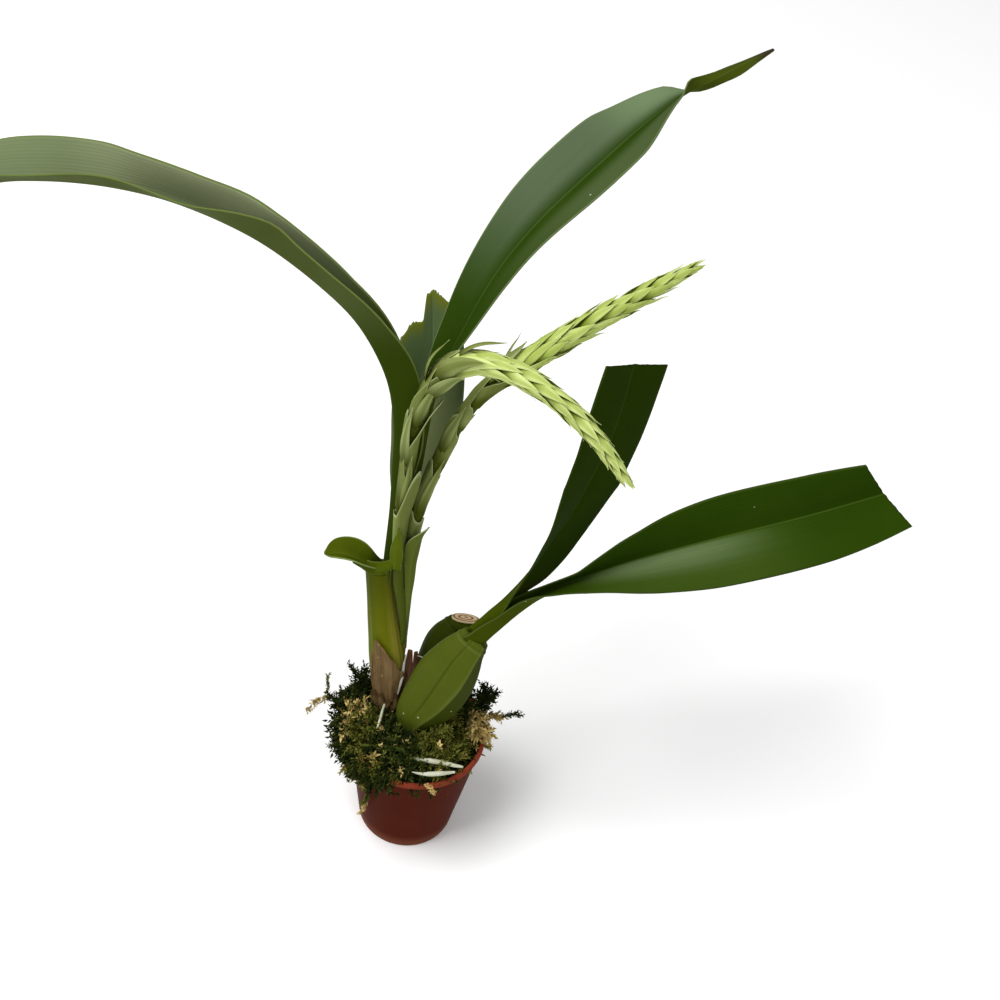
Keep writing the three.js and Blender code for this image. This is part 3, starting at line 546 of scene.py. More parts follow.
def bulb_finish(name, dark, light, pale):
    """A pseudobulb's skin: smooth and waxy, with faint lengthwise grain and
    small scales; a painted highlight along its ridge, a pale line on its leaf ring, and painted shade in its
    groove, on the flank beside its ridge and under its ring."""
    finish = Finish(name, dark)
    veins = finish.effect(VEINS, UV=finish.uv(), Lines=46.0, Wander=1.6, Stretch=1.6)
    mottle = finish.effect(MOTTLE, Scale=70.0, Contrast=1.3)
    finish.lay(light, mottle["Mask"])
    finish.lay(light, veins["Streaks"], 0.7)
    # Painted highlight along the ridge, with the leaf ring's pale line
    finish.lay(pale, finish.kept("pale"), 0.55)
    # Painted shade in the groove, on the flank beside the ridge and under the ring
    finish.lay(tuple(part * 0.45 for part in dark), finish.kept("deep"), 0.75)
    finish.lay((0.4, 0.44, 0.24), finish.effect(SPECKS, Scale=330.0, Size=0.14, Share=0.05)["Mask"])
    finish.surface(0.42)
    finish.bump(veins["Streaks"], 0.2, 0.2)
    return finish.material


def sheath_finish():
    """The new growth's sheath: yellow-green, ribbed along, with a pale keel
    and a tan margin down its right side."""
    finish = Finish("sheath_yellow_green", (0.085, 0.1, 0.001))
    uv = finish.uv()
    veins = finish.effect(VEINS, UV=uv, Lines=60.0, Wander=0.7, Stretch=1.2)
    mottle = finish.effect(MOTTLE, Scale=40.0, Contrast=1.6)
    finish.lay((0.135, 0.15, 0.003), mottle["Mask"])
    finish.lay((0.17, 0.175, 0.012), veins["Streaks"], 0.5)
    for place, width, strength, shade in (
        (0.33, 0.006, 0.7, (0.24, 0.27, 0.06)),
        (0.37, 0.1, 0.5, (0.07, 0.1, 0.003)),
        (0.08, 0.06, 0.55, (0.25, 0.21, 0.03)),
        (0.055, 0.006, 0.8, (0.1, 0.07, 0.02)),
    ):
        finish.lay(shade, finish.effect(LINE, UV=uv, Place=place, Width=width)["Mask"], strength)
    finish.lay((0.16, 0.12, 0.03), finish.within(uv, "Y", 0.45, 0.1))
    finish.lay((0.055, 0.068, 0.0008), finish.within(uv, "Y", 0.5, 0.9), 0.7)
    finish.surface(0.4)
    finish.bump(veins["Lines"], 0.3, 0.1)
    return finish.material


def paper_finish(name, dark, light, pale):
    """A dry papery sheath: brown, fibrous along its length, blotched."""
    finish = Finish(name, dark)
    uv = finish.uv()
    veins = finish.effect(VEINS, UV=uv, Lines=34.0, Wander=1.6, Stretch=2.0)
    mottle = finish.effect(MOTTLE, Scale=150.0, Contrast=2.0)
    finish.lay(light, mottle["Mask"])
    finish.lay(pale, veins["Streaks"], 0.7)
    finish.lay(dark, veins["Lines"], 0.16)
    finish.lay(dark, finish.within(uv, "Y", 0.42, 0.1), 0.75)
    finish.lay(pale, finish.effect(SPECKS, Scale=420.0, Size=0.2, Share=0.1)["Mask"])
    finish.surface(0.75)
    finish.bump(veins["Lines"], 0.5, 0.15)
    return finish.material


def tint_finish(name, low, high, gloss, fine=260.0):
    """A finish that each strand or bud takes between two colours, by the tint
    kept on it, with small blotches of the low colour."""
    finish = Finish(name, low)
    mottle = finish.effect(MOTTLE, Scale=fine, Contrast=1.6)
    finish.lay(high, finish.kept("tint"))
    finish.lay(low, mottle["Mask"], 0.4)
    finish.surface(gloss)
    finish.bump(mottle["Fine"], 0.3, 0.1)
    return finish.material


def bract_finish(name, low, high, middle, foot, rim):
    """A spike's bracts, tinted one by one between two colours: greener along
    the middle and darker at the foot, partly the foot's own green and partly painted shade under the
    overlapping bracts, with pale edges."""
    finish = Finish(name, low)
    uv = finish.uv()
    veins = finish.effect(VEINS, UV=uv, Lines=9.0, Wander=0.5, Stretch=1.0)
    mottle = finish.effect(MOTTLE, Scale=90.0, Contrast=1.8)
    finish.lay(high, finish.kept("tint"))
    finish.lay(middle, finish.effect(LINE, UV=uv, Place=0.5, Width=0.2)["Mask"], 0.5)
    finish.lay(middle, veins["Streaks"], 0.5)
    finish.lay(middle, mottle["Mask"], 0.3)
    # Darker at the foot: partly its own green, partly painted shade under the overlapping bracts
    finish.lay(foot, finish.within(uv, "Y", 0.5, 0.05))
    finish.lay(rim, finish.within(uv, "Y", 0.93, 1.0), 0.45)
    finish.surface(0.5)
    finish.bump(veins["Lines"], 0.3, 0.1)
    return finish.material


def pot_finish():
    """Moulded clay-coloured plastic: satin, faintly clouded, specked with dust and lighter towards its foot;
    its lip band is painted lighter, as painted light on the rim.
    """
    finish = Finish("pot_plastic", (0.052, 0.0068, 0.0016))
    cloud = finish.effect(MOTTLE, Scale=38.0, Contrast=1.4)
    height = finish.axes(finish.add("ShaderNodeTexCoord").outputs["Object"])["Z"]
    under_lip = POT_HEIGHT - POT_LIP_HEIGHT
    finish.lay((0.08, 0.0115, 0.0035), cloud["Mask"])
    # Painted light: the lip band is lighter, as if lit
    finish.lay((0.2, 0.036, 0.018), finish.faded(height, (under_lip - 0.4) * MM, (under_lip + 0.4) * MM))
    # Lighter towards the foot
    finish.lay((0.15, 0.05, 0.026), finish.faded(height, 9.0 * MM, 0.0))
    finish.lay((0.3, 0.2, 0.15), finish.effect(SPECKS, Scale=300.0, Size=0.08, Share=0.06)["Mask"])
    finish.surface(0.4, POT_SHEEN)
    finish.bump(cloud["Fine"], 0.12, 0.08)
    return finish.material


def bark_finish():
    """Damp bark and peat, under the moss."""
    finish = Finish("potting_bark", (0.02, 0.012, 0.007))
    mottle = finish.effect(MOTTLE, Scale=120.0, Contrast=2.4)
    finish.lay((0.12, 0.07, 0.04), mottle["Mask"])
    finish.surface(0.9, FULL_SHEEN)
    finish.bump(mottle["Fine"], 0.9, 1.0)
    return finish.material


def root_finish():
    """A young root: green where it starts, white and velvety at its end."""
    finish = Finish("root_velvet", (0.035, 0.05, 0.006))
    mottle = finish.effect(MOTTLE, Scale=220.0, Contrast=2.0)
    reach = finish.maths("MULTIPLY_ADD", mottle["Fine"], 0.14, finish.axes(finish.uv())["Y"])
    white = finish.maths("MAXIMUM", finish.faded(reach, 0.58, 0.74), finish.kept("tint"))
    finish.lay((0.09, 0.11, 0.02), mottle["Mask"])
    finish.lay(finish.blend(mottle["Mask"], (0.36, 0.36, 0.24), (0.66, 0.67, 0.54)), white)
    finish.surface(0.7)
    finish.bump(mottle["Fine"], 0.4, 0.15)
    return finish.material


def cut_finish():
    """The cut end of an old leaf: cream, with brown lines between its layers."""
    finish = Finish("cut_end", (0.74, 0.55, 0.33))
    mottle = finish.effect(MOTTLE, Scale=420.0, Contrast=2.0)
    reach = finish.maths("MULTIPLY_ADD", finish.axes(finish.uv())["Y"], 21.0, mottle["Mask"])
    rings = finish.maths("SINE", reach)
    lines = finish.add("ShaderNodeMapRange", Value=rings, From_Min=0.1, From_Max=0.7)
    finish.lay((0.13, 0.045, 0.014), lines.outputs[0])
    finish.lay((0.75, 0.6, 0.38), mottle["Fine"], 0.3)
    finish.surface(0.75)
    finish.bump(mottle["Fine"], 0.5, 0.3)
    return finish.material


def floor_finish():
    finish = Finish("studio_floor", (0.98, 0.98, 0.98))
    finish.surface(0.9, FULL_SHEEN)
    return finish.material


LEAF_LEFT = leaf_finish(
    "leaf_left_upper", dark=(0.038, 0.059, 0.0038), light=(0.071, 0.095, 0.019),
    rib=(0.123, 0.162, 0.048), margin=(0.12, 0.16, 0.04),
    fades=[((0.025, 0.044, 0.0009), 0.37, 0.28), ((0.085, 0.057, 0.019), 0.97, 1.0)],
    # Painted sheen on the far half, fainter on the near half; the third is painted light on the far half
    # where it stands steep, turned from the light
    painted_sheens=[
        ((0.18, 0.223, 0.114), 0.95, (0.33, 0.44), (0.49, 0.54)),
        ((0.114, 0.142, 0.057), 0.5, (0.4, 0.7), (0.5, 0.3)),
        ((0.32, 0.36, 0.2), 0.85, (0.4, 0.48, 0.7, 0.58), (0.52, 0.6)),
    ],
)
LEAF_LEFT_UNDER = leaf_finish(
    "leaf_left_under", dark=(0.05, 0.07, 0.012), light=(0.08, 0.105, 0.03),
    rib=(0.12, 0.16, 0.05), margin=(0.1, 0.13, 0.03), gloss=0.5,
    fades=[((0.024, 0.042, 0.0008), 0.4, 0.3), ((0.09, 0.06, 0.02), 0.97, 1.0)],
)
LEAF_RIGHT = leaf_finish(
    "leaf_right_upper", dark=(0.014, 0.035, 0.001), light=(0.028, 0.056, 0.004),
    rib=(0.054, 0.09, 0.027), margin=(0.117, 0.162, 0.063),
    fades=[((0.022, 0.045, 0.0005), 0.42, 0.24), ((0.027, 0.018, 0.011), 0.965, 0.99)],
    # Painted sheen on the left half and on the right half, and a paler painted sheen on the left half near
    # the tip
    painted_sheens=[
        ((0.108, 0.149, 0.081), 0.9, (0.44, 0.66), (0.52, 0.3)),
        ((0.077, 0.108, 0.041), 0.75, (0.42, 0.7), (0.56, 0.8)),
        ((0.171, 0.243, 0.117), 0.6, (0.72, 0.84), (0.5, 0.2)),
    ],
)
LEAF_RIGHT_UNDER = leaf_finish(
    "leaf_right_under", dark=(0.034, 0.05, 0.003), light=(0.055, 0.075, 0.006),
    rib=(0.08, 0.1, 0.02), margin=(0.1, 0.13, 0.04), gloss=0.5,
    fades=[((0.03, 0.02, 0.012), 0.965, 0.99)],
)
LEAF_DARK = leaf_finish(
    "leaf_dark", dark=(0.0099, 0.031, 0.0005), light=(0.023, 0.05, 0.0018),
    rib=(0.054, 0.09, 0.013), margin=(0.036, 0.063, 0.009), streaky=0.6,
    fades=[((0.032, 0.059, 0.0014), 0.34, 0.16)],
    # Painted sheen over the near, lower half, and a paler painted sheen in streaks beside the midrib
    painted_sheens=[
        ((0.045, 0.079, 0.009), 0.8, (0.22, 0.36, 0.9, 0.6), (0.49, 0.54)),
        ((0.13, 0.185, 0.08), 0.85, (0.26, 0.42, 0.78, 0.52), (0.49, 0.54, 0.86, 0.58)),
    ],
)
LEAF_TALL = leaf_finish(
    "leaf_tall", dark=(0.009, 0.023, 0.0003), light=(0.019, 0.036, 0.001),
    rib=(0.036, 0.058, 0.006), margin=(0.025, 0.043, 0.0038),
    fades=[((0.025, 0.04, 0.0009), 0.3, 0.16)],
)
LEAF_CUT_UNDER = leaf_finish(
    "leaf_cut_under", dark=(0.038, 0.056, 0.0023), light=(0.056, 0.075, 0.006),
    rib=(0.09, 0.112, 0.022), margin=(0.112, 0.143, 0.038), gloss=0.5,
    fades=[((0.041, 0.06, 0.0015), 0.34, 0.16)],
)
LEAF_GREY = leaf_finish(
    "leaf_grey_green", dark=(0.055, 0.09, 0.03), light=(0.085, 0.125, 0.05),
    rib=(0.11, 0.15, 0.07), margin=(0.12, 0.16, 0.07), gloss=0.5,
    # The second fade is painted light: it lightens the blade below its top, where the ears and the right leaf
    # shade it
    fades=[((0.11, 0.13, 0.012), 0.93, 1.0), ((0.15, 0.185, 0.075), 0.82, 0.6)],
)
LEAF_YOUNG = leaf_finish(
    "leaf_young", dark=(0.055, 0.085, 0.0015), light=(0.09, 0.125, 0.006),
    rib=(0.12, 0.155, 0.02), margin=(0.3, 0.36, 0.17),
)
LEAF_YOUNG_UNDER = leaf_finish(
    "leaf_young_under", dark=(0.07, 0.095, 0.01), light=(0.11, 0.14, 0.025),
    rib=(0.15, 0.19, 0.05), margin=(0.2, 0.25, 0.1), gloss=0.5,
)
COLLAR = leaf_finish(
    "leaf_collar", dark=(0.042, 0.065, 0.001), light=(0.075, 0.1, 0.004),
    rib=(0.09, 0.12, 0.015), margin=(0.18, 0.23, 0.075),
)
FOOT_SHEATH = leaf_finish(
    "foot_sheath", dark=(0.065, 0.085, 0.015), light=(0.12, 0.16, 0.05),
    rib=(0.22, 0.28, 0.12), margin=(0.22, 0.28, 0.12), gloss=0.45, lines=14.0,
    fades=[((0.17, 0.12, 0.04), 0.35, 0.1)],
)
# The third colour of each skin is the ridge's painted highlight and the leaf ring's pale line
BULB_SKIN = bulb_finish("bulb_skin", (0.053, 0.074, 0.0049), (0.078, 0.1, 0.0098), (0.123, 0.156, 0.033))
OLD_BULB_SKIN = bulb_finish(
    "old_bulb_skin", (0.025, 0.04, 0.0014), (0.045, 0.063, 0.0036), (0.063, 0.09, 0.009),
)
SHEATH = sheath_finish()
PAPER = paper_finish("dry_sheath", (0.045, 0.021, 0.006), (0.12, 0.072, 0.022), (0.34, 0.235, 0.11))
PAPER_RED = paper_finish("dry_sheath_red", (0.09, 0.026, 0.01), (0.27, 0.1, 0.045), (0.5, 0.31, 0.19))
PAPER_WHITE = paper_finish("dry_sheath_white", (0.42, 0.38, 0.3), (0.68, 0.64, 0.55), (0.8, 0.77, 0.68))
BRACT = bract_finish(
    "bract_cream_green", low=(0.4, 0.48, 0.15), high=(0.82, 0.89, 0.4),
    middle=(0.3, 0.4, 0.05), foot=(0.16, 0.22, 0.012), rim=(0.86, 0.92, 0.5),
)
STALK_BRACT = bract_finish(
    "bract_stalk", low=(0.18, 0.21, 0.045), high=(0.38, 0.44, 0.19),
    middle=(0.09, 0.115, 0.014), foot=(0.055, 0.07, 0.005), rim=(0.5, 0.56, 0.3),
)
# The buds' dark green is partly their own and partly painted shade for the gaps between the bracts
BUD_GREEN_AND_SHADE = tint_finish("bud_green_and_painted_shade", (0.09, 0.13, 0.006), (0.2, 0.26, 0.03), 0.5)
STALK = tint_finish("spike_stalk", (0.05, 0.065, 0.005), (0.1, 0.13, 0.02), 0.5)
POT = pot_finish()
BARK = bark_finish()
ROOT = root_finish()
CUT_END = cut_finish()
# Dark moss: partly the moss's own dark green, partly painted shade at the cushion's left and back and under
# its strands
MOSS_DARK_AND_PAINTED_SHADE = tint_finish("moss_dark_and_painted_shade", (0.004, 0.009, 0.003), (0.06, 0.08, 0.014), 0.75, fine=500.0)
MOSS_OLIVE = tint_finish("moss_olive", (0.016, 0.024, 0.002), (0.27, 0.27, 0.05), 0.75, fine=500.0)
MOSS_GOLD = tint_finish("moss_gold", (0.12, 0.08, 0.01), (0.88, 0.68, 0.27), 0.75, fine=500.0)


# Camera, light and floor


def set_camera():
    """The camera, tilted down and rolled as the photo's was."""
    tilt = math.radians(CAMERA_TILT)
    roll = math.radians(CAMERA_ROLL)
    forward = Vector((0, math.cos(tilt), -math.sin(tilt)))
    level = Vector((1, 0, 0))
    upright = level.cross(forward)
    right = level * math.cos(roll) + upright * math.sin(roll)
    up = upright * math.cos(roll) - level * math.sin(roll)
    data = bpy.data.cameras.new("camera")
    data.lens = LENS
    data.sensor_width = SENSOR
    data.sensor_fit = "HORIZONTAL"
    camera = bpy.data.objects.new("camera", data)
    bpy.context.scene.collection.objects.link(camera)
    turn = Matrix((right, up, -forward)).transposed().to_4x4()
    camera.matrix_world = Matrix.Translation(Vector(CAMERA_PLACE) * MM) @ turn
    bpy.context.scene.camera = camera


def softbox(name, place, aim, size, power):
    data = bpy.data.lights.new(name, "AREA")
    data.shape = "SQUARE"
    data.size = size
    data.energy = power
    lamp = bpy.data.objects.new(name, data)
    bpy.context.scene.collection.objects.link(lamp)
    direction = Vector(aim) - Vector(place)
    lamp.rotation_euler = direction.to_track_quat("-Z", "Y").to_euler()
    lamp.location = place


def set_studio():
    """A pale floor, a pale sky and two soft lights."""
    bpy.ops.object.select_all(action="DESELECT")
    bpy.ops.mesh.primitive_plane_add(size=8, location=(0, 0, 0))
    floor = bpy.context.object
    floor.name = "studio_floor"
    dress(floor, floor_finish())
    world = bpy.data.worlds.new("studio")
    world.use_nodes = True
    world.node_tree.nodes["Background"].inputs["Color"].default_value = (1, 1, 1, 1)
    world.node_tree.nodes["Background"].inputs["Strength"].default_value = SKY_STRENGTH
    bpy.context.scene.world = world
    softbox("key", (-1.1, -0.5, 2.6), (0, 0, 0.1), 1.5, KEY_POWER)
    softbox("fill", (1.3, -1.6, 2.0), (0, 0, 0.1), 1.6, FILL_POWER)
    bpy.context.scene.view_settings.view_transform = "Standard"


# The pot


def pot_radius(height):
    """Outer radius of the pot's wall."""
    slope = (POT_LIP_RADIUS - POT_LIP_PROUD - POT_BASE_RADIUS) / POT_HEIGHT
    return POT_BASE_RADIUS + slope * height


def pot_outline():
    """The wall's outline, as (radius, height) from the floor's middle below,
    up the outside, over the lip and down the inside."""
    under = POT_HEIGHT - POT_LIP_HEIGHT
    foot = [
        (0.0, 0.6), (8.0, 0.6), (8.6, 0.2), (POT_BASE_RADIUS - 2.2, 0.2), (POT_BASE_RADIUS - 1.8, 0.0),
        (POT_BASE_RADIUS - 0.6, 0.0), (POT_BASE_RADIUS - 0.15, 0.15),
    ]
    wall = [(pot_radius(height), height) for height in (0.7, 1.2, 27, under - 0.5, under)]
    lip = [
        (POT_LIP_RADIUS - 0.2, under + 0.25), (POT_LIP_RADIUS, under + 0.6),
        (POT_LIP_RADIUS, POT_HEIGHT - 0.7), (POT_LIP_RADIUS - 0.25, POT_HEIGHT - 0.15),
        (POT_LIP_RADIUS - 0.7, POT_HEIGHT), (pot_radius(POT_HEIGHT) - POT_WALL + 0.2, POT_HEIGHT - 0.15),
    ]
    inside = [
        (pot_radius(POT_HEIGHT) - POT_WALL, POT_HEIGHT - 0.7),
        (pot_radius(POT_FLOOR + 1) - POT_WALL, POT_FLOOR + 1),
        (pot_radius(POT_FLOOR) - POT_WALL - 1, POT_FLOOR), (0.0, POT_FLOOR),
    ]
    return foot + wall + lip + inside


def drain(pot, angle):
    """Cuts one hole through the pot's floor."""
    bpy.ops.mesh.primitive_cylinder_add(
        vertices=24, radius=DRAIN_HOLE_RADIUS, depth=POT_FLOOR * 4,
        location=around(angle, DRAIN_RING_RADIUS, 0),
    )
    plug = bpy.context.object
    cut = pot.modifiers.new("drain", "BOOLEAN")
    cut.object = plug
    cut.operation = "DIFFERENCE"
    cut.solver = "EXACT"
    only(pot)
    bpy.ops.object.modifier_apply(modifier=cut.name)
    bpy.data.objects.remove(plug)


def make_pot():
    """A tapered cup with a rolled lip, lathed from its wall's outline."""
    outline = pot_outline()
    steps = len(outline) - 1
    pot = grid("pot_wall", 128, steps)

    def place(across, along):
        return around(across * 2 * math.pi, *outline[round(along * steps)])

    settle(pot, place)
    close_seams(pot)
    for hole in range(DRAIN_HOLES):
        drain(pot, (hole + 0.5) / DRAIN_HOLES * 2 * math.pi)
    dress(pot, POT)
    finished(pot, ["pot"])
    only(pot)
    bpy.ops.object.shade_smooth_by_angle(angle=math.radians(40))


# Bulbs, stub, sheaths

# A bulb's girth from its foot to its top, as a share of its half width and half depth
BULB_SHAPE = [(0, 0.42), (0.16, 0.7), (0.4, 0.94), (0.62, 0.97), (0.8, 0.8), (0.92, 0.6), (1, 0.47)]
REAR_SHAPE = [(0, 0.5), (0.2, 0.84), (0.45, 1), (0.7, 0.96), (0.85, 0.8), (0.95, 0.6), (1, 0.5)]
BULB_FACE = ((-0.3, -0.95, 0.1), (-0.3, -0.95, 0.1))
FRONT_BULB = Spine(
    [(-2.4, -1.4, 51.1), (-0.4, -1.2, 66), (3.9, -1, 77.5), (8, -0.8, 91), (12.2, -0.6, 105.5),
     (14.4, -0.5, 111), (16.4, -0.2, 115.4)],
    BULB_FACE,
)
REAR_BULB = Spine(
    [(2.6, 10.8, 51.4), (5.2, 12.6, 66), (7.8, 13.6, 84), (9.6, 13.9, 98), (10.8, 14, 105.6)],
    BULB_FACE,
)
FRONT_BULB_HALVES = (11.7, 6.4)
REAR_BULB_HALVES = (12.3, 5.4)

# Where the ridge runs, in degrees round the bulb, from its foot to its top
RIDGE = [(0, 84), (0.3, 69), (0.6, 58), (0.85, 46), (1, 36)]
GROOVE = math.radians(96)


def ribbed(angle, place):
    """The bulb's girth: a sharp ridge, a groove beside it, faint ribs and the
    low ring where its leaf grew."""
    away = angle - math.radians(flowing(RIDGE, place))
    ridge = 0.13 * math.exp(-abs(away) / 0.2)
    flank = -0.05 * math.exp(-(((away + 0.5) / 0.3) ** 2))
    groove = -0.022 * math.exp(-(((angle - GROOVE) / 0.05) ** 2)) * ramp(place, 0.15, 0.4)
    soft = -0.03 * math.exp(-(((angle - GROOVE) / 0.35) ** 2))
    faint = 0.003 * math.sin(angle * 15) + 0.002 * math.sin(angle * 26 + 1)
    ring = 0.05 * math.exp(-(((place - RING_PLACE) / 0.006) ** 2))
    return 1 + ridge + flank + groove + soft + faint + ring


def mark(piece, label, mask):
    """Keeps a mask on a piece's corners, from mask(angle, place) on its UV map."""
    layer = piece.data.attributes.new(label, "FLOAT", "CORNER")
    uv = piece.data.uv_layers.active.data
    layer.data.foreach_set("value", [mask(spot.uv.x * 2 * math.pi, spot.uv.y) for spot in uv])


def ridge_highlight_and_ring_lines(angle, place):
    """Where a bulb gets a painted highlight along its ridge, and the pale line of its leaf ring."""
    ridge = math.exp(-(((angle - math.radians(flowing(RIDGE, place))) / 0.055) ** 2))
    return max(ridge, math.exp(-(((place - RING_PLACE + 0.012) / 0.006) ** 2)))


def painted_shade_lines(angle, place):
    """Where painted shade lies on a bulb: in its groove, on the flank beside its ridge and under its ring."""
    groove = math.exp(-(((angle - GROOVE) / 0.025) ** 2)) * ramp(place, 0.2, 0.4)
    ring = 0.7 * math.exp(-(((place - RING_PLACE + 0.002) / 0.006) ** 2))
    ridge_at = math.radians(flowing(RIDGE, place))
    flank = ramp(ridge_at - angle, 0.0, 0.05) * ramp(angle, -0.6, 0.0)
    return max(groove, ring, flank)


def make_bulb(name, spine, shape, halves, skin, node):
    """A bulb with its ridge, groove and ring, and the masks that colour them: a painted highlight on its
    ridge, the ring's pale line, and painted shade.
    """
    half_width, half_depth = halves

    def across(place):
        return half_width * flowing(shape, place)

    def through(place):
        return half_depth * flowing(shape, place)

    bulb = swept(name, spine, even_rings(70, across, through), 160, ribbed)
    for vertex in bulb.data.vertices:
        lump = noise.noise(vertex.co * 0.09)
        vertex.co += vertex.normal * lump * 0.25
    mark(bulb, "pale", ridge_highlight_and_ring_lines)
    mark(bulb, "deep", painted_shade_lines)
    dress(bulb, skin)
    finished(bulb, [node])


STUB = Spine(
    [(10.4, 13.6, 103.6), (11.0, 14.6, 106.2), (11.3, 15.1, 108.2)],
    ((0.26, -0.965, 0), (0.26, -0.965, 0)),
)
STUB_HALF_WIDTH = 5.3
STUB_HALF_DEPTH = 2.4
CUT_RINGS = 16


def make_stub():
    """The old leaf's stub on the rear bulb: layered, cut level across."""
    wide, deep = STUB_HALF_WIDTH, STUB_HALF_DEPTH
    rings = [
        (0, 0, 0), (0, wide * 0.9, deep * 1.5), (0.45, wide * 0.92, deep * 1.15),
        (0.72, wide * 0.93, deep * 0.95), (0.78, wide, deep), (0.92, wide * 1.03, deep * 1.05),
        (0.97, wide * 1.01, deep * 1.02),
    ]
    walls = len(rings)
    for step in range(CUT_RINGS):
        reach = 1 - step / (CUT_RINGS - 1)
        rings.append((0.99 - 0.02 * math.cos(step * 2.1), wide * reach * 0.98, deep * reach * 0.98))
    stub = swept("cut_stub_layers", STUB, rings, 72)
    dress(stub, OLD_BULB_SKIN, CUT_END)
    edge = (walls - 3) / (len(rings) - 1)
    uv = stub.data.uv_layers.active.data
    for face in stub.data.polygons:
        face.material_index = 1 if min(uv[corner].uv.y for corner in face.loop_indices) > edge else 0
    finished(stub, ["cut_stub"])


GROWTH_LINE = [(-14, 8.5, 50.5), (-14.6, 8.5, 66), (-16.1, 8.5, 86), (-19.3, 9, 108), (-22.2, 9.5, 130)]
GROWTH_FACE = ((-0.3, -1, 0.1), (-0.3, -1, 0.1))
GROWTH = Spine(GROWTH_LINE, GROWTH_FACE)
FULL_GROWTH = Spine(GROWTH_LINE + [(-22.7, 9.6, 133.2)], GROWTH_FACE)
GROWTH_SHAPE = [(0, 0.7), (0.2, 0.95), (0.42, 1.13), (0.62, 1.02), (0.82, 0.9), (1, 0.86)]
GROWTH_HALF_WIDTH = 6.5
GROWTH_HALF_DEPTH = 4.6


def make_growth():
    """The new growth's folded sheaths, open at the top round the leaves."""
    longer = FULL_GROWTH.length / GROWTH.length

    def across(place):
        return GROWTH_HALF_WIDTH * flowing(GROWTH_SHAPE, min(1.0, place * longer))

    def through(place):
        return GROWTH_HALF_DEPTH * flowing(GROWTH_SHAPE, min(1.0, place * longer))

    def keeled(angle, place):
        keel = 0.05 * math.exp(-abs(angle - math.radians(118)) / 0.12)
        ribs = 0.006 * math.sin(angle * 30) + 0.004 * math.sin(angle * 47)
        return 1 + keel + ribs

    rings = even_rings(60, across, through)[:-1]
    rings.append((1.0, across(1) * 0.9, through(1) * 0.88))
    rings.append((0.97, across(1) * 0.86, through(1) * 0.8))
    rings.append((0.9, 0.0, 0.0))
    growth = swept("new_growth_sheath", FULL_GROWTH, rings, 120, keeled)
    dress(growth, SHEATH)
    finished(growth, ["new_growth"])


def wrapped(place, turn, clear):
    """A point on a sheath that hugs the new growth: turn is 0 at its front."""
    middle, _, face, side = GROWTH.frame(place)
    angle = math.pi / 2 - turn
    stretch = flowing(GROWTH_SHAPE, place)
    return (
        middle
        + side * math.cos(angle) * (GROWTH_HALF_WIDTH * stretch + clear)
        + face * math.sin(angle) * (GROWTH_HALF_DEPTH * stretch + clear)
    )


def tear(piece, keep):
    """Deletes the faces whose middle fails keep(u, v) on the UV map."""
    mesh = bmesh.new()
    mesh.from_mesh(piece.data)
    layer = mesh.loops.layers.uv.active
    torn = []
    for face in mesh.faces:
        u = sum(loop[layer].uv.x for loop in face.loops) / len(face.loops)
        v = sum(loop[layer].uv.y for loop in face.loops) / len(face.loops)
        if not keep(u, v):
            torn.append(face)
    bmesh.ops.delete(mesh, geom=torn, context="FACES")
    mesh.to_mesh(piece.data)
    mesh.free()


# How high the dry sheath's top edge stands, by degrees round the growth
PAPER_CREST = [
    (-32, 0.3), (-20, 0.53), (-4, 0.63), (12, 0.58), (38, 0.5), (60, 0.41), (90, 0.34), (190, 0.27),
]
PAPER_LEFT = -32
PAPER_RIGHT = 185


def paper_layer(index, top, clear):
    """One layer of the dry sheath, its foot torn to rags."""
    sheet = grid("papery_layer", 72, 60)

    def place(across, along):
        turn = PAPER_LEFT + (PAPER_RIGHT - PAPER_LEFT) * across
        crest = eased(PAPER_CREST, turn) * top
        at = 0.05 + (crest - 0.05) * along
        ripple = 0.25 * noise.noise(Vector((across * 11, along * 4, index * 7)))
        ripple += 0.8 * math.exp(-(((turn + 4) / 6) ** 2)) + 0.5 * math.exp(-(((turn - 34) / 6) ** 2))
        ripple += 0.16 * math.sin(across * 60 + 3 * noise.noise(Vector((across * 4, along * 3, 1))))
        curl = 0.5 * ramp(along, 0.85, 1.0) + 0.8 * ramp(1 - along, 0.75, 1.0)
        return wrapped(at, math.radians(turn), clear + ripple + curl)

    def keep(u, v):
        ragged = 0.12 + 0.2 * noise.noise(Vector((u * 22, index * 5, 0)))
        ragged += 0.1 * noise.noise(Vector((u * 70, v * 8, 3)))
        hole = noise.noise(Vector((u * 16, v * 5, index * 9 + 2)))
        return v > ragged and not (v < 0.4 and hole > 0.4)

    settle(sheet, place)
    tear(sheet, keep)
    dress(sheet, PAPER)
    thicken(sheet, 0.22)
    return sheet


def ribbon(name, path, widths, skin, depth=0.16, face=(0, -1, 0.2)):
    """A flat dry strip along a path, its half widths eased from end to end."""

    def across(place):
        return flowing(widths, place)

    def through(place):
        return depth

    strip = swept(name, Spine(path, (face, face)), even_rings(24, across, through), 10)
    dress(strip, skin)
    return strip


def paper_shred(chance):
    """A strip that hangs from the dry sheath's foot."""
    turn = math.radians(chance.uniform(-30, 85))
    start = wrapped(chance.uniform(0.16, 0.24), turn, 1.2)
    end = wrapped(chance.uniform(0.05, 0.11), turn + chance.uniform(-0.3, 0.3), 1.9)
    middle = start.lerp(end, 0.5) + Vector((chance.uniform(-1, 1), chance.uniform(-1, 0), 0))
    return ribbon("papery_shred", [start, middle, end], [(0, 0.9), (0.5, 0.7), (1, 0.2)], PAPER)


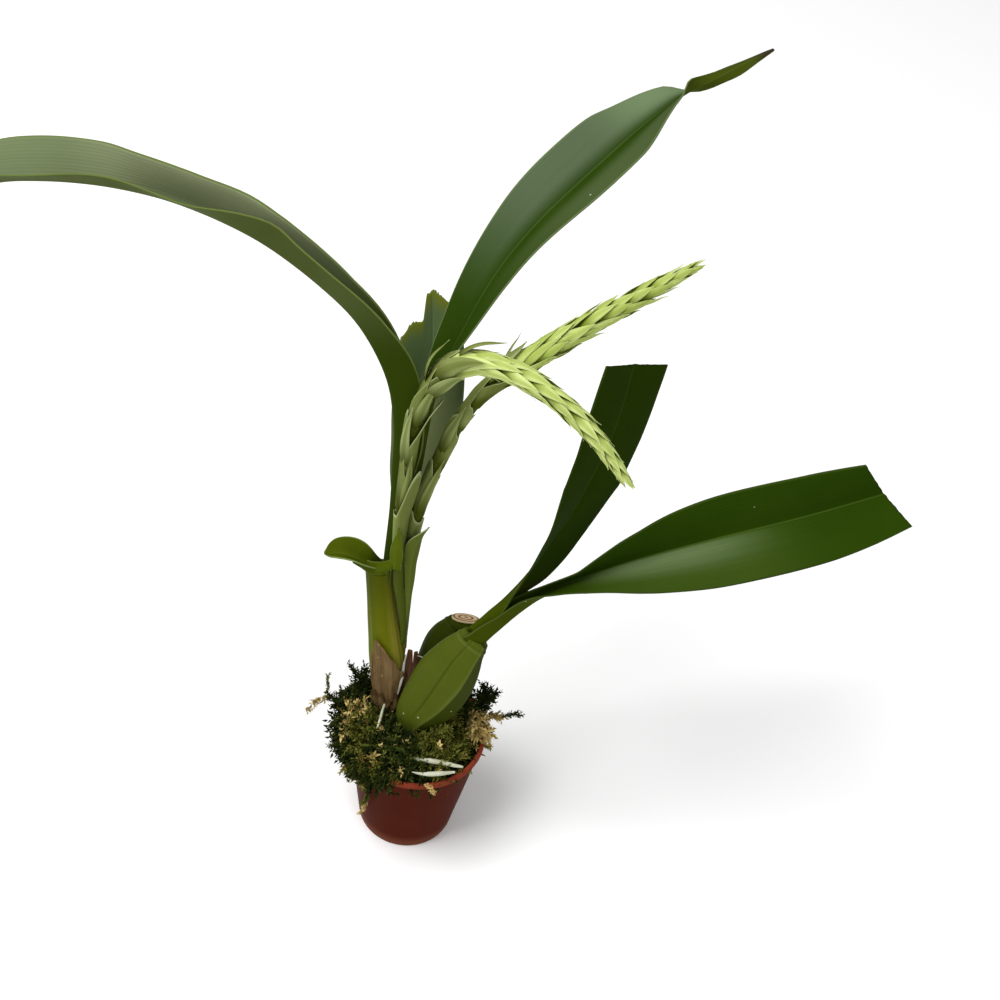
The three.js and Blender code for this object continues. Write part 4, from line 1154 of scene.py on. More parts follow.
def make_papery_sheath():
    """The dry sheath round the new growth's foot, and the dry strips by it."""
    chance = random.Random(PAPER_SEED)
    layers = [paper_layer(0, 1.0, 0.8), paper_layer(1, 0.7, 0.45)]
    layers += [paper_shred(chance) for _ in range(22)]
    layers.append(ribbon(
        "dry_sheath_red_front", [(-7.4, 8.2, 91.6), (-7.2, 7.8, 84.1), (-7.4, 6.6, 74.8), (-8, 5.2, 64)],
        [(0, 0.9), (0.12, 1.2), (0.4, 1.5), (0.75, 1.3), (1, 0.8)], PAPER_RED, 0.3,
    ))
    layers.append(ribbon(
        "dry_sheath_red_back", [(-5.2, 8.8, 90.4), (-4.6, 8.2, 82), (-5.2, 7.2, 72), (-6.2, 6, 62)],
        [(0, 0.8), (0.3, 1.4), (0.7, 1.5), (1, 0.8)], PAPER_RED, 0.3, (0.5, -1, 0.2),
    ))
    layers.append(ribbon(
        "dry_sheath_white", [(-8.6, 6, 91.4), (-8.8, 5, 86), (-8.9, 4, 78), (-9.6, 3, 70)],
        [(0, 0.15), (0.2, 0.4), (0.5, 0.6), (1, 0.2)], PAPER_WHITE,
    ))
    layers.append(ribbon(
        "dry_thread", [(-4.4, 8.6, 88.4), (-2.4, 7, 90), (0.2, 5.6, 89.2), (2, 4.6, 86.5)],
        [(0, 0.3), (0.5, 0.22), (1, 0.12)], PAPER_WHITE,
    ))
    finished(joined(layers, "papery_sheath_layers"), ["papery_sheath"])


# The lip leaf's clasping base: a crescent across the front of the growth's
# top, from its left to the stalks on its right
COLLAR_LOWER = [
    (-32, 6.8, 135.6), (-28.4, 5.5, 135.1), (-25.1, 3.5, 135.4), (-21.3, 2, 137.5), (-17.8, 0.8, 141.8),
    (-15.3, 0.8, 146.1), (-14.3, 2, 148.8),
]
COLLAR_UPPER = [
    (-32, 8, 140.6), (-28.1, 6.5, 139.4), (-25.7, 5, 140), (-22.7, 3.6, 141.8), (-19.7, 2.2, 144.5),
    (-17, 1.6, 147.4), (-14.7, 2.2, 149.6),
]


def make_collar():
    lower, upper = Spine(COLLAR_LOWER), Spine(COLLAR_UPPER)
    band = grid("lip_leaf_base", 20, 60)

    def place(across, along):
        bulge = Vector((0, -1, 0)) * math.sin(across * math.pi) * 0.9
        return lower.point(along).lerp(upper.point(along), across) + bulge * math.sin(along * math.pi)

    settle(band, place)
    dress(band, COLLAR)
    thicken(band, 0.6)
    finished(band)


FOOT = Spine(
    [(-9.9, 8.8, 86), (-10.5, 8.2, 102.4), (-11.2, 7.2, 118), (-12, 6.5, 136), (-12.2, 6, 150),
     (-11.8, 6, 158)],
    ((0, -1, 0.1), (0, -1, 0.1)),
)


def make_foot_sheath():
    """The narrow grooved sheath that both stalks rise from, at the growth's side."""

    def across(place):
        return flowing([(0, 0.7), (0.25, 1.3), (0.5, 2), (0.75, 2.8), (0.9, 3), (1, 2.7)], place)

    def through(place):
        return flowing([(0, 0.6), (0.5, 1.5), (0.9, 2.3), (1, 2.2)], place)

    def grooved(angle, place):
        return 1 - 0.12 * math.exp(-((math.sin(angle * 2.5 + 0.6) / 0.18) ** 2)) * ramp(place, 0.1, 0.4)

    foot = swept("spike_foot_sheath", FOOT, even_rings(70, across, through), 72, grooved)
    dress(foot, FOOT_SHEATH)
    finished(foot)


# Leaves


def half_section(reach, fold, cup):
    """Where a leaf's half has got to at a reach from the midrib: sideways and
    up. The fold opens over the first part; cup bends the margin back down."""
    wide = tall = 0.0
    steps = 10
    for step in range(steps):
        at = reach * (step + 0.5) / steps
        angle = fold * (0.5 + 0.5 * ramp(at, 0.0, 2.2)) - cup * at
        wide += math.cos(angle) * reach / steps
        tall += math.sin(angle) * reach / steps
    return wide, tall


def make_leaf(name, leaf, skins, node):
    """A strap leaf: its two halves rise from the midrib, each by its own fold."""
    spine = Spine(leaf["path"], leaf["faces"], leaf.get("twist", ((0, 0), (1, 0))))
    wave, waves, seed = leaf["wave"], leaf["waves"], leaf["seed"]
    cup = leaf.get("cup", 0.008)
    rib = leaf.get("rib", 0.25)
    ends = leaf.get("ends")
    blade = grid(name, leaf.get("columns", LEAF_COLUMNS), leaf.get("rows", LEAF_ROWS))

    def place(across, along):
        line = across * 2 - 1
        half = 0 if line < 0 else -1
        at = along * (ends(line) if ends else 1.0)
        middle, _, face, side = spine.frame(at)
        width = max(0.02, flowing(leaf["outlines"][half], at))
        reach = abs(line) * leaf["half_width"] * width
        fold = flowing(leaf["folds"][half], at)
        wide, tall = half_section(reach, math.radians(fold), cup)
        phase = seed + (0.37 if line > 0 else 0.0)
        tall += wave * math.sin((at * waves + phase) * 2 * math.pi) * line * line
        tall += 0.5 * wave * noise.noise(Vector((line * 1.3, at * 14, seed * 9)))
        tall -= rib * math.exp(-((reach / 0.7) ** 2)) * min(1.0, width * 2)
        return middle + side * math.copysign(wide, line) + face * tall

    settle(blade, place)
    dress(blade, *skins)
    thicken(blade, LEAF_THICKNESS, under=1)
    finished(blade, [node] if node else [])


def slanted(share, slope, ragged):
    """Ends of a cut: each line across stops at its own share of the length."""

    def ends(line):
        return share + slope * line + ragged * noise.noise(Vector((line * 9, 0, 0)))

    return ends


def torn_top(line):
    """The back leaf's torn top: notched on the left, highest in the middle."""
    steps = [
        (-1, 0.86), (-0.68, 0.905), (-0.36, 0.905), (-0.24, 0.985),
        (0.05, 1), (0.3, 0.985), (0.75, 0.96), (1, 0.92),
    ]
    return eased(steps, line) + 0.012 * noise.noise(Vector((line * 22, 4, 0)))


# Each leaf: the line of its midrib, the ways its face looks along it, half its
# greatest width, the outline and the fold of each half from foot to tip, and
# how much and how often it waves
LEFT_LEAF = {
    "path": [
        (-21, 9, 126), (-21, 9, 131), (-21.2, 12, 160), (-21.8, 12, 180), (-23, 12.4, 200),
        (-27.4, 13.6, 218.2), (-37.8, 16, 234.6), (-50.7, 19, 244.2), (-73.2, 25, 253.3),
        (-98.8, 31.5, 256.7), (-124.7, 38, 253.9), (-151.3, 45, 246.4), (-166, 49.5, 240),
        (-196, 57, 222), (-222, 62, 198),
    ],
    "faces": [(1, -0.1, 0.1), (0.8, -0.2, 0.6), (0.35, -0.22, 0.95), (0, 0, 1), (-0.25, 0, 1)],
    "half_width": 14,
    "outlines": [
        [(0, 0.28), (0.12, 0.45), (0.22, 0.84), (0.32, 1.0), (0.6, 0.96), (0.72, 1.0), (0.82, 0.95),
         (0.92, 0.55), (0.97, 0.24), (1, 0.03)],
        [(0, 0.28), (0.12, 0.4), (0.22, 0.62), (0.31, 0.68), (0.35, 0.78), (0.4, 0.9), (0.47, 1.1),
         (0.53, 1.0), (0.72, 1.0), (0.82, 0.95), (0.92, 0.55), (0.97, 0.24), (1, 0.03)],
    ],
    "folds": [
        [(0, 58), (0.15, 72), (0.25, 84), (0.3, 90), (0.34, 80), (0.39, 72), (0.43, 74), (0.46, 82),
         (0.49, 72), (0.54, 50), (0.62, 52), (0.7, 40), (0.8, 34), (1, 40)],
        [(0, 62), (0.15, 78), (0.25, 98), (0.31, 108), (0.36, 100), (0.4, 95), (0.46, 97), (0.5, 93),
         (0.55, 97), (0.6, 90), (0.65, 70), (0.72, 60), (0.8, 56), (1, 45)],
    ],
    "wave": 0.3, "waves": 5, "seed": 0.2,
}
RIGHT_LEAF = {
    "path": [
        (-16, 8.6, 126), (-16, 8.6, 131), (-13.8, 10.6, 158), (-12.6, 14.5, 180), (-10.8, 22, 214),
        (-4.7, 30.5, 233.9), (2.3, 43, 246.9), (11.9, 58, 257.2), (24.7, 74, 267.7), (40.8, 95, 278.4),
        (51.7, 105, 286.1), (60.4, 110, 290.4), (79, 120, 300.5),
    ],
    "faces": [(-0.9, 0.3, 0.2), (-0.7, -0.3, 0.5), (-0.55, -0.4, 0.75), (-0.5, -0.35, 0.8), (-0.8, 0, 0.5)],
    "twist": [(0, 0), (0.85, 0), (0.893, -80), (0.93, -142), (1, -152)],
    "half_width": 14,
    "outlines": [
        [(0, 0.2), (0.21, 0.2), (0.3, 0.3), (0.4, 0.5), (0.5, 0.73), (0.6, 0.97), (0.68, 1.03), (0.76, 1.0),
         (0.82, 0.8), (0.86, 0.5), (0.89, 0.24), (0.915, 0.16), (0.945, 0.18), (0.975, 0.1), (1, 0.03)],
        [(0, 0.2), (0.21, 0.2), (0.3, 0.36), (0.4, 0.55), (0.5, 0.74), (0.6, 0.97), (0.68, 1.03),
         (0.76, 0.99), (0.82, 0.74), (0.86, 0.46), (0.89, 0.24), (0.915, 0.2), (0.94, 0.3), (0.965, 0.26),
         (1, 0.03)],
    ],
    "folds": [
        [(0, 80), (0.21, 80), (0.33, 50), (0.42, 22), (0.55, 22), (0.65, 34), (0.74, 32), (0.8, 24), (1, 40)],
        [(0, 80), (0.21, 80), (0.33, 56), (0.42, 38), (0.55, 33), (0.66, 28), (0.78, 26), (1, 40)],
    ],
    "wave": 0.25, "waves": 4, "seed": 0.5,
}
BACK_LEAF = {
    "path": [
        (-18.4, 13.4, 126), (-18.4, 13.4, 130.9), (-15.4, 20, 171), (-13.9, 26, 187.6), (-15.8, 38, 216),
        (-18.8, 46, 231.6),
    ],
    "faces": [(0, -1, 0.2), (0, -1, 0.45)],
    "half_width": 12.3,
    "outlines": [[(0, 0.2), (0.24, 0.36), (0.48, 0.85), (0.66, 1.04), (0.86, 0.9), (1, 0.62)]],
    "folds": [[(0, 50), (0.5, 28), (1, 22)]],
    "wave": 0.35, "waves": 3, "seed": 0.7, "columns": 48, "ends": torn_top,
}
WIDE_LEAF = {
    "path": [
        (16.6, -2, 111), (18.6, -1.4, 112.9), (21.6, 0, 117.4), (24.4, 1.6, 120.8), (30.3, 5.4, 127.3),
        (38.3, 10.6, 133.5), (44, 13, 137.5), (64.5, 20, 147.3), (93, 29, 157.7), (125.6, 39, 168.6),
        (158, 50, 180.5),
    ],
    "faces": [(-0.65, 0.2, 0.73), (-0.5, -0.1, 0.8), (-0.1, -0.6, 0.74)] + [(0, -0.72, 0.69)] * 5,
    "half_width": 17.3,
    "outlines": [
        [(0, 0.46), (0.12, 0.44), (0.2, 0.38), (0.27, 0.4), (0.32, 0.54), (0.4, 0.79), (0.5, 0.96),
         (0.62, 1.04), (0.8, 1.03), (0.9, 0.94), (1, 0.78)],
        [(0, 0.46), (0.12, 0.47), (0.2, 0.46), (0.27, 0.47), (0.32, 0.58), (0.4, 0.79), (0.5, 0.96),
         (0.62, 1.04), (0.8, 1.05), (0.9, 0.96), (1, 0.8)],
    ],
    "folds": [
        [(0, 84), (0.1, 88), (0.16, 94), (0.22, 97), (0.27, 90), (0.33, 72), (0.4, 57), (0.5, 43), (0.62, 38),
         (0.8, 41), (1, 45)],
        [(0, 84), (0.06, 80), (0.1, 74), (0.16, 74), (0.22, 60), (0.27, 50), (0.33, 42), (0.4, 34), (0.5, 26),
         (0.62, 11), (0.8, 4), (1, 14)],
    ],
    "wave": 0.3, "waves": 3, "seed": 0.1, "ends": slanted(0.956, 0.034, 0.002),
}
TALL_LEAF = {
    "path": [
        (13.6, 0.4, 119.6), (16.4, 1.8, 123), (19.4, 3.4, 127), (24, 5.8, 132.6), (30.8, 10.6, 142.8),
        (36.5, 16.5, 154), (41.5, 21, 165.5), (47.4, 27, 186.7), (50, 31, 199.5), (52, 40, 221.5),
    ],
    "faces": [(0.65, -0.2, -0.73), (0.65, -0.2, -0.73), (0.75, -0.5, -0.4)] + [(0.74, -0.64, 0.2)] * 3,
    "half_width": 16.5,
    "outlines": [
        [(0, 0.22), (0.12, 0.24), (0.2, 0.3), (0.27, 0.45), (0.35, 0.6), (0.45, 0.73), (0.55, 0.82),
         (0.7, 0.92), (0.85, 0.96), (1, 0.95)],
        [(0, 0.22), (0.12, 0.26), (0.2, 0.4), (0.27, 0.58), (0.35, 0.7), (0.45, 0.79), (0.55, 0.88),
         (0.7, 0.94), (0.85, 0.98), (1, 0.99)],
    ],
    "folds": [
        [(0, 84), (0.1, 50), (0.18, 0), (0.24, -9), (0.32, -6), (0.4, 1), (0.5, 6), (0.6, 10), (0.7, 7),
         (0.8, 2), (0.9, 5), (1, 7)],
        [(0, 84), (0.12, 74), (0.2, 64), (0.3, 50), (0.35, 42), (0.45, 26), (0.55, 14), (0.7, 7), (1, 8)],
    ],
    "wave": 0.25, "waves": 3, "seed": 0.9, "ends": slanted(0.995, 0.0, 0.002),
}
LIP_LEAF = {
    "path": [
        (-22.4, 8.4, 131), (-22.8, 7.6, 133), (-24.4, 6, 136), (-27.4, 4.7, 138.8), (-32.2, 4.3, 141.4),
        (-35.8, 4.1, 142.2), (-39, 4, 141.9), (-42, 3.5, 141.2),
    ],
    "faces": [(0.8, 0, 0.6), (0.2, -0.2, 1), (0, -0.2, 1), (0, -0.2, 1)],
    "half_width": 7,
    "outlines": [[(0, 0.5), (0.3, 0.66), (0.62, 1), (0.86, 0.7), (1, 0.05)]],
    "folds": [[(0, 70), (0.4, 58), (1, 40)]],
    "wave": 0.2, "waves": 2, "seed": 0.0, "rib": 0.1, "rows": 50, "columns": 24,
}
SMALL_BRACT = {
    "path": [(-10.4, 6, 108), (-10.6, 3.8, 133), (-10.9, 2.6, 147), (-10, 1.8, 156), (-6.2, 0.6, 166.6)],
    "faces": [(-0.2, 1, 0.1), (-0.2, 1, 0.1), (-0.5, 0.5, 0.6)],
    "half_width": 3,
    "outlines": [[(0, 0.05), (0.2, 0.3), (0.6, 0.75), (0.8, 1), (1, 0.06)]],
    "folds": [[(0, 28), (1, 35)]],
    "wave": 0.1, "waves": 2, "seed": 0.3, "rib": 0.05, "rows": 60, "columns": 16,
}
INNER_BRACT = {
    "path": [
        (-16.3, 0.4, 143), (-16.2, -0.2, 148.4), (-16.3, -0.6, 153.6), (-16.2, -0.4, 158.6), (-16, 0, 164),
    ],
    "faces": [(-0.2, -1, 0.2), (0, -1, 0.2)],
    "half_width": 2.3,
    "outlines": [[(0, 0.9), (0.4, 1), (0.7, 0.7), (0.9, 0.3), (1, 0.04)]],
    "folds": [[(0, -26), (1, -20)]],
    "wave": 0.1, "waves": 2, "seed": 0.6, "rib": 0.0, "rows": 40, "columns": 16,
}


def make_leaves():
    make_leaf("leaf_left_blade", LEFT_LEAF, (LEAF_LEFT, LEAF_LEFT_UNDER), "leaf_left")
    make_leaf("leaf_right_blade", RIGHT_LEAF, (LEAF_RIGHT, LEAF_RIGHT_UNDER), "leaf_right")
    make_leaf("leaf_back_blade", BACK_LEAF, (LEAF_GREY, LEAF_GREY), "leaf_back")
    make_leaf("leaf_cut_wide_blade", WIDE_LEAF, (LEAF_DARK, LEAF_CUT_UNDER), "leaf_cut_wide")
    make_leaf("leaf_cut_tall_blade", TALL_LEAF, (LEAF_TALL, LEAF_CUT_UNDER), "leaf_cut_tall")
    make_leaf("leaf_lip_blade", LIP_LEAF, (COLLAR, LEAF_YOUNG_UNDER), "leaf_bract")
    make_leaf("bract_small_blade", SMALL_BRACT, (LEAF_YOUNG, LEAF_YOUNG_UNDER), "bract_small")
    make_leaf("inner_bract_blade", INNER_BRACT, (LEAF_YOUNG, LEAF_YOUNG), None)


# Flower spikes


BRACT_HALVES = [(0, 0.6), (0.22, 0.98), (0.45, 0.92), (0.75, 0.5), (0.92, 0.16), (1, 0.02)]


def bract_pattern(skin):
    """One bract, 1 long and 1 wide: a keeled, pointed boat, hollow inwards."""
    bract = grid("bract_pattern", 10, 14)

    def place(across, along):
        line = across * 2 - 1
        half = 0.5 * flowing(BRACT_HALVES, along)
        hug = 0.55 * (half * line) ** 2
        keel = 0.1 * half * (1 - abs(line)) ** 2
        belly = 0.2 * math.sin(math.pi * min(1.0, along * 1.1)) + 0.1 * ramp(along, 0.8, 1.0)
        return Vector((line * half, along, belly + keel - hug))

    settle(bract, place)
    dress(bract, skin)
    thicken(bract, 0.035)
    return bract


def bud_pattern():
    """One bud, 1 long: an egg that shows between the bracts."""
    bpy.ops.object.select_all(action="DESELECT")
    bpy.ops.mesh.primitive_uv_sphere_add(segments=10, ring_count=7, radius=0.5)
    bud = bpy.context.object
    bud.data.transform(Matrix.Rotation(math.radians(90), 4, "X"))
    bud.data.transform(Matrix.Translation((0, 0.5, 0)))
    dress(bud, BUD_GREEN_AND_SHADE)
    return bud


def stalk_sheath(spike, start, end, tongue, facing, flare, tint):
    """A sheath round a spike's stalk: a tube that runs up into a pointed
    tongue. start, end and tongue are shares of the stalk's line."""
    tube = grid("stalk_sheath", 32, 28)
    spine, radius = spike["spine"], spike["radius"]

    def place(across, along):
        swing = (across - 0.5) * 2 * math.pi
        toward = (1 + math.cos(swing)) / 2
        uneven = noise.noise(Vector((math.cos(swing) * 1.6, math.sin(swing) * 1.6, end * 40)))
        top = end + tongue * toward ** 5 + 0.016 * uneven
        at = start + (top - start) * along
        middle, _, face, side = spine.frame(min(at, 1.0))
        standing = flare * ramp(along, 0.35, 1.0) ** 2 * toward ** 2
        clear = 0.2 + 0.3 * along + standing + 0.07 * math.sin(swing * 8)
        angle = math.radians(facing) + swing
        return middle + (side * math.cos(angle) + face * math.sin(angle)) * (radius(at) + clear)

    settle(tube, place)
    close_seams(tube)
    dress(tube, STALK_BRACT)
    tinted(tube, tint)
    thicken(tube, 0.2)
    return tube


def set_on(spike, pattern, at, angle, tilt, size, tint, sink, roll=0.0):
    """A bract or bud, with its own mesh, laid along a spike's bend at a place
    and an angle round it; it leans out from the stalk by its tilt."""
    spine = spike["spine"]
    width, length, depth = size
    piece = pattern.copy()
    piece.data = pattern.data.copy()
    bpy.context.scene.collection.objects.link(piece)
    reach = spike["radius"](min(at, 1.0)) * sink
    for vertex in piece.data.vertices:
        across, along, lift = vertex.co
        here = at + round(along, 3) * length * math.cos(tilt) / spine.length
        middle, tangent, face, side = spine.frame(min(here, 1.0))
        beyond = max(0.0, here - 1.0) * spine.length
        outward = side * math.cos(angle) + face * math.sin(angle)
        out = reach + along * length * math.sin(tilt) + lift * depth + across * width * roll
        vertex.co = middle + tangent * beyond + outward * out + tangent.cross(outward) * across * width
    tinted(piece, tint)
    return piece


# How a spike's bracts change from its ear's foot to its tip
EAR_SIZES = [(0, 1.4), (0.15, 1.15), (0.5, 1.0), (0.85, 0.84), (1, 0.6)]
EAR_TILTS = [(0, 5), (0.4, 8), (0.8, 7), (1, 4)]


def make_ear(spike, patterns, chance):
    """The ear: buds and bracts in a close spiral, smaller to its tip."""
    bract, bud = patterns
    pieces = []
    start = spike["head_start"]
    count = int(spike["spine"].length * (1 - start) / BRACT_PITCH)
    golden = math.radians(GOLDEN_ANGLE)
    low, high = spike["tints"]
    for index in range(count):
        share = index / count
        at = start + (1 - start) * share * 0.95
        size = flowing(EAR_SIZES, share) * chance.uniform(0.93, 1.07)
        angle = golden * index + chance.uniform(-0.14, 0.14)
        tilt = math.radians(flowing(EAR_TILTS, share) + chance.uniform(-2, 2.5))
        pieces.append(set_on(
            spike, bud, at, angle, tilt * 0.8,
            (2.2 * size, 7 * size, 1.9 * size), chance.uniform(0.1, 0.7), 0.5,
        ))
        pieces.append(set_on(
            spike, bract, at, angle, tilt,
            (3.7 * size, 13 * size, 3.7 * size), chance.uniform(low, high), 0.84, chance.uniform(-0.3, 0.3),
        ))
        if chance.random() < 0.35:
            pieces.append(set_on(
                spike, bract, at + 0.012, angle + chance.choice((-0.8, 0.8)), tilt * 1.15,
                (2 * size, 10 * size, 2 * size), chance.uniform(low, high), 0.9,
            ))
    return pieces


def make_spike(name, spike, patterns, seed, node):
    """A spike in bud: a stalk with sheaths, a few free bracts, then the ear."""
    chance = random.Random(seed)
    bract, bud, free = patterns
    spine = spike["spine"]
    stalk = swept(name + "_stalk", spine, even_rings(120, spike["radius"], spike["radius"]), 20)
    dress(stalk, STALK)
    tinted(stalk, 0.3)
    pieces = [stalk]
    for row in spike["sheaths"]:
        pieces.append(stalk_sheath(spike, *row, chance.uniform(0.25, 0.6)))
    for at, angle, tilt, length, width in spike["bracts"]:
        pieces.append(set_on(
            spike, free, at, math.radians(angle), math.radians(tilt), (width, length, width),
            chance.uniform(0.3, 0.9), 1.05,
        ))
    pieces += make_ear(spike, (bract, bud), chance)
    finished(joined(pieces, name), [node])


ARCHING_RADIUS = [
    (0, 0.9), (0.06, 1.4), (0.14, 1.9), (0.3, 2.1), (0.5, 2.3),
    (0.66, 2.5), (0.82, 2.0), (0.97, 0.9), (1, 0.4),
]
STRAIGHT_RADIUS = [
    (0, 0.8), (0.1, 1.2), (0.2, 1.9), (0.3, 2.2), (0.5, 2.2),
    (0.68, 2.6), (0.85, 2.1), (0.97, 0.9), (1, 0.4),
]
ARCHING_SPIKE = {
    "spine": Spine(
        [(-10.6, 7.4, 96), (-11.2, 6.6, 108), (-12.6, 5.4, 120), (-14.6, 4.4, 133), (-16.2, 3.4, 163),
         (-16.2, 3.4, 190), (-15.2, 4.4, 211), (-12, 5.4, 224), (-6.5, 6, 232.5), (2.5, 5, 237.4),
         (15, 3, 236.6), (28.4, 0, 232), (43, -3, 221.6), (54.9, -6, 209)],
        ((0, -1, 0.1), (0, -1, 0.2), (0, -0.9, 0.4)),
    ),
    "radius": lambda place: flowing(ARCHING_RADIUS, place),
    "head_start": 0.624,
    "tints": (0.4, 1.0),
    # each sheath: where it starts and ends, its tongue, the way it faces, how far the tongue stands off
    "sheaths": [
        (0.231, 0.346, 0.111, 35, 2.6), (0.359, 0.419, 0.145, 165, 0.7), (0.427, 0.496, 0.111, 10, 2.8),
        (0.513, 0.547, 0.094, 95, 0.8), (0.573, 0.603, 0.068, 170, 1.6),
    ],
    # each free bract: its place, angle, tilt, length and width
    "bracts": [
        (0.611, 178, 24, 14, 4.5), (0.667, 176, 22, 15, 4), (0.59, 60, 9, 20, 6), (0.624, 110, 9, 20, 6),
        (0.35, 70, 3, 28, 3.6), (0.45, 120, 4, 26, 3.8), (0.53, 75, 4, 22, 3.8),
    ],
}
STRAIGHT_SPIKE = {
    "spine": Spine(
        [(-9.8, 8.8, 92), (-11.2, 7.4, 118), (-12.4, 6.5, 150), (-10.4, 8, 172.4), (-6.8, 10, 188),
         (-2.8, 13, 202), (2.8, 16, 214), (10.6, 20, 222), (23.9, 28, 232), (36.6, 35, 240),
         (51, 44, 247.4), (64.8, 52, 255)],
        ((0, -1, 0.1), (0, -1, 0.4), (0, -0.8, 0.6)),
    ),
    "radius": lambda place: flowing(STRAIGHT_RADIUS, place),
    "head_start": 0.64,
    "tints": (0.0, 0.5),
    "sheaths": [
        (0.22, 0.345, 0.03, 170, 0.3), (0.355, 0.44, 0.035, 150, 0.4), (0.46, 0.52, 0.05, 130, 0.5),
        (0.54, 0.575, 0.08, 160, 0.6), (0.59, 0.62, 0.09, 30, 0.8),
    ],
    "bracts": [
        (0.655, 176, 26, 14, 3.5), (0.63, 150, 12, 18, 5), (0.36, 70, 3, 26, 3.4), (0.49, 110, 4, 20, 3.6),
    ],
}


def make_spikes():
    patterns = (bract_pattern(BRACT), bud_pattern(), bract_pattern(STALK_BRACT))
    make_spike("spike_arching_ear", ARCHING_SPIKE, patterns, ARCHING_SEED, "spike_arching")
    make_spike("spike_straight_ear", STRAIGHT_SPIKE, patterns, STRAIGHT_SEED, "spike_straight")
    for pattern in patterns:
        bpy.data.objects.remove(pattern)


# Roots and rhizome

# Each root: its line, how white it is from the start, and its radius along it
ROOTS = {
    "root_long": (
        [(-20, -15.5, 58.5), (-10.4, -15.3, 60), (-4.5, -15.8, 60.5), (0.6, -18, 60.3), (10.4, -17.8, 60),
         (20.6, -17.2, 59)],
        0.0, [(0, 0.6), (0.3, 0.85), (0.55, 0.8), (0.7, 1.0), (0.9, 0.8), (1, 0.4)],
    ),
    "root_short": (
        [(1.7, -23.6, 58.8), (6.7, -23.6, 59), (12.4, -22, 59), (17.8, -19.8, 58.4)],
        1.0, [(0, 0.12), (0.15, 0.5), (0.45, 0.95), (0.75, 0.8), (1, 0.4)],
    ),
    "root_new": (
        [(-14, 1.4, 64.6), (-14.4, -0.8, 62.8), (-14.7, -5.4, 61.4), (-15, -8, 60.4)],
        0.8, [(0, 0.4), (0.5, 0.55), (1, 0.35)],
    ),
}


def make_roots():
    for node, (path, whiteness, girth) in ROOTS.items():
        def radius(place, girth=girth):
            return flowing(girth, place)

        root = swept(node + "_fibre", Spine(path), even_rings(50, radius, radius), 16)
        for vertex in root.data.vertices:
            vertex.co += vertex.normal * 0.12 * noise.noise(vertex.co * 0.8)
        tinted(root, whiteness)
        dress(root, ROOT)
        finished(root, [node])


# Moss


def moss_reach(angle):
    """How far the moss spreads from the pot's axis: over the rim on the left,
    inside it at the front and right."""
    to_left = (1 - math.cos(angle)) / 2
    turn = math.degrees(angle) % 360
    inside = 2.6 * ramp(turn, 245, 275) * (1 - ramp(turn, 352, 360))
    wobble = math.sin(angle * 5) * 0.7 + math.sin(angle * 9 + 1) * 0.5
    return POT_LIP_RADIUS - 1.4 + 5.4 * to_left ** 1.5 - inside + wobble


def moss_height(angle, share):
    """Height of the cushion at a share of its reach, in lumps."""
    spot = around(angle, moss_reach(angle) * share, 0)
    lumps = 1.5 * noise.noise(spot * 0.14) + 0.7 * noise.noise(spot * 0.33)
    droop = 3.5 * ramp(share, 0.86, 1.0)
    return MOSS_CROWN + (MOSS_EDGE - MOSS_CROWN) * share ** 1.5 - droop + lumps * (1 - 0.6 * share)


def make_felt():
    """The felt under the moss strands, in the dark moss finish and near black: painted shade where it shows
    between them.
    """
    felt = grid("moss_felt", 96, 40)

    def place(across, along):
        angle = across * 2 * math.pi
        if along < 0.8:
            share = along / 0.8
            radius = moss_reach(angle) * share * 0.95
            height = moss_height(angle, share) - 1.8
        else:
            share = (along - 0.8) / 0.2
            inner = POT_LIP_RADIUS - 3.2 if share < 1 else 0
            radius = moss_reach(angle) * 0.95 * (1 - share) + inner * share
            height = POT_HEIGHT + 0.6 - share * 6
        return around(angle, radius, height)

    settle(felt, place)
    close_seams(felt)
    tinted(felt, 0.05)
    dress(felt, MOSS_DARK_AND_PAINTED_SHADE)
    return felt


def add_leaflet(mesh, root, forward, outward, length, width):
    """One small pointed leaf of a strand: four faces, folded along its middle."""
    across = forward.cross(outward).normalized()
    middle = root + (forward * 0.6 + outward * 0.35) * length * 0.5
    corners = [
        root - across * width * 0.25, middle - across * width * 0.5,
        root + (forward * 0.75 + outward * 0.6) * length, middle + across * width * 0.5,
    ]
    points = [mesh.verts.new(corner) for corner in corners]
    spine = mesh.verts.new(middle - outward * width * 0.22)
    for first, second in zip(points, points[1:] + points[:1]):
        mesh.faces.new((first, second, spine))


def strand_pattern(chance):
    """A moss strand 1 long: a bent stem closely set with small leaves."""
    mesh = bmesh.new()
    bend = chance.uniform(-0.5, 0.5)
    sway = chance.uniform(-0.3, 0.3)

    def stem(share):
        return Vector((bend * share * share, sway * math.sin(share * 3), share))

    for index in range(STRAND_LEAFLETS):
        share = index / STRAND_LEAFLETS
        forward = (stem(share + 0.12) - stem(share)).normalized()
        angle = index * 2.4 + chance.uniform(-0.4, 0.4)
        outward = Vector((math.cos(angle), math.sin(angle), 0))
        outward = (outward - forward * outward.dot(forward)).normalized()
        length = chance.uniform(0.4, 0.72) * (1 - 0.35 * share)
        add_leaflet(mesh, stem(share), forward, outward, length, length * 0.44)
    data = bpy.data.meshes.new("strand_pattern")
    mesh.to_mesh(data)
    mesh.free()
    return data


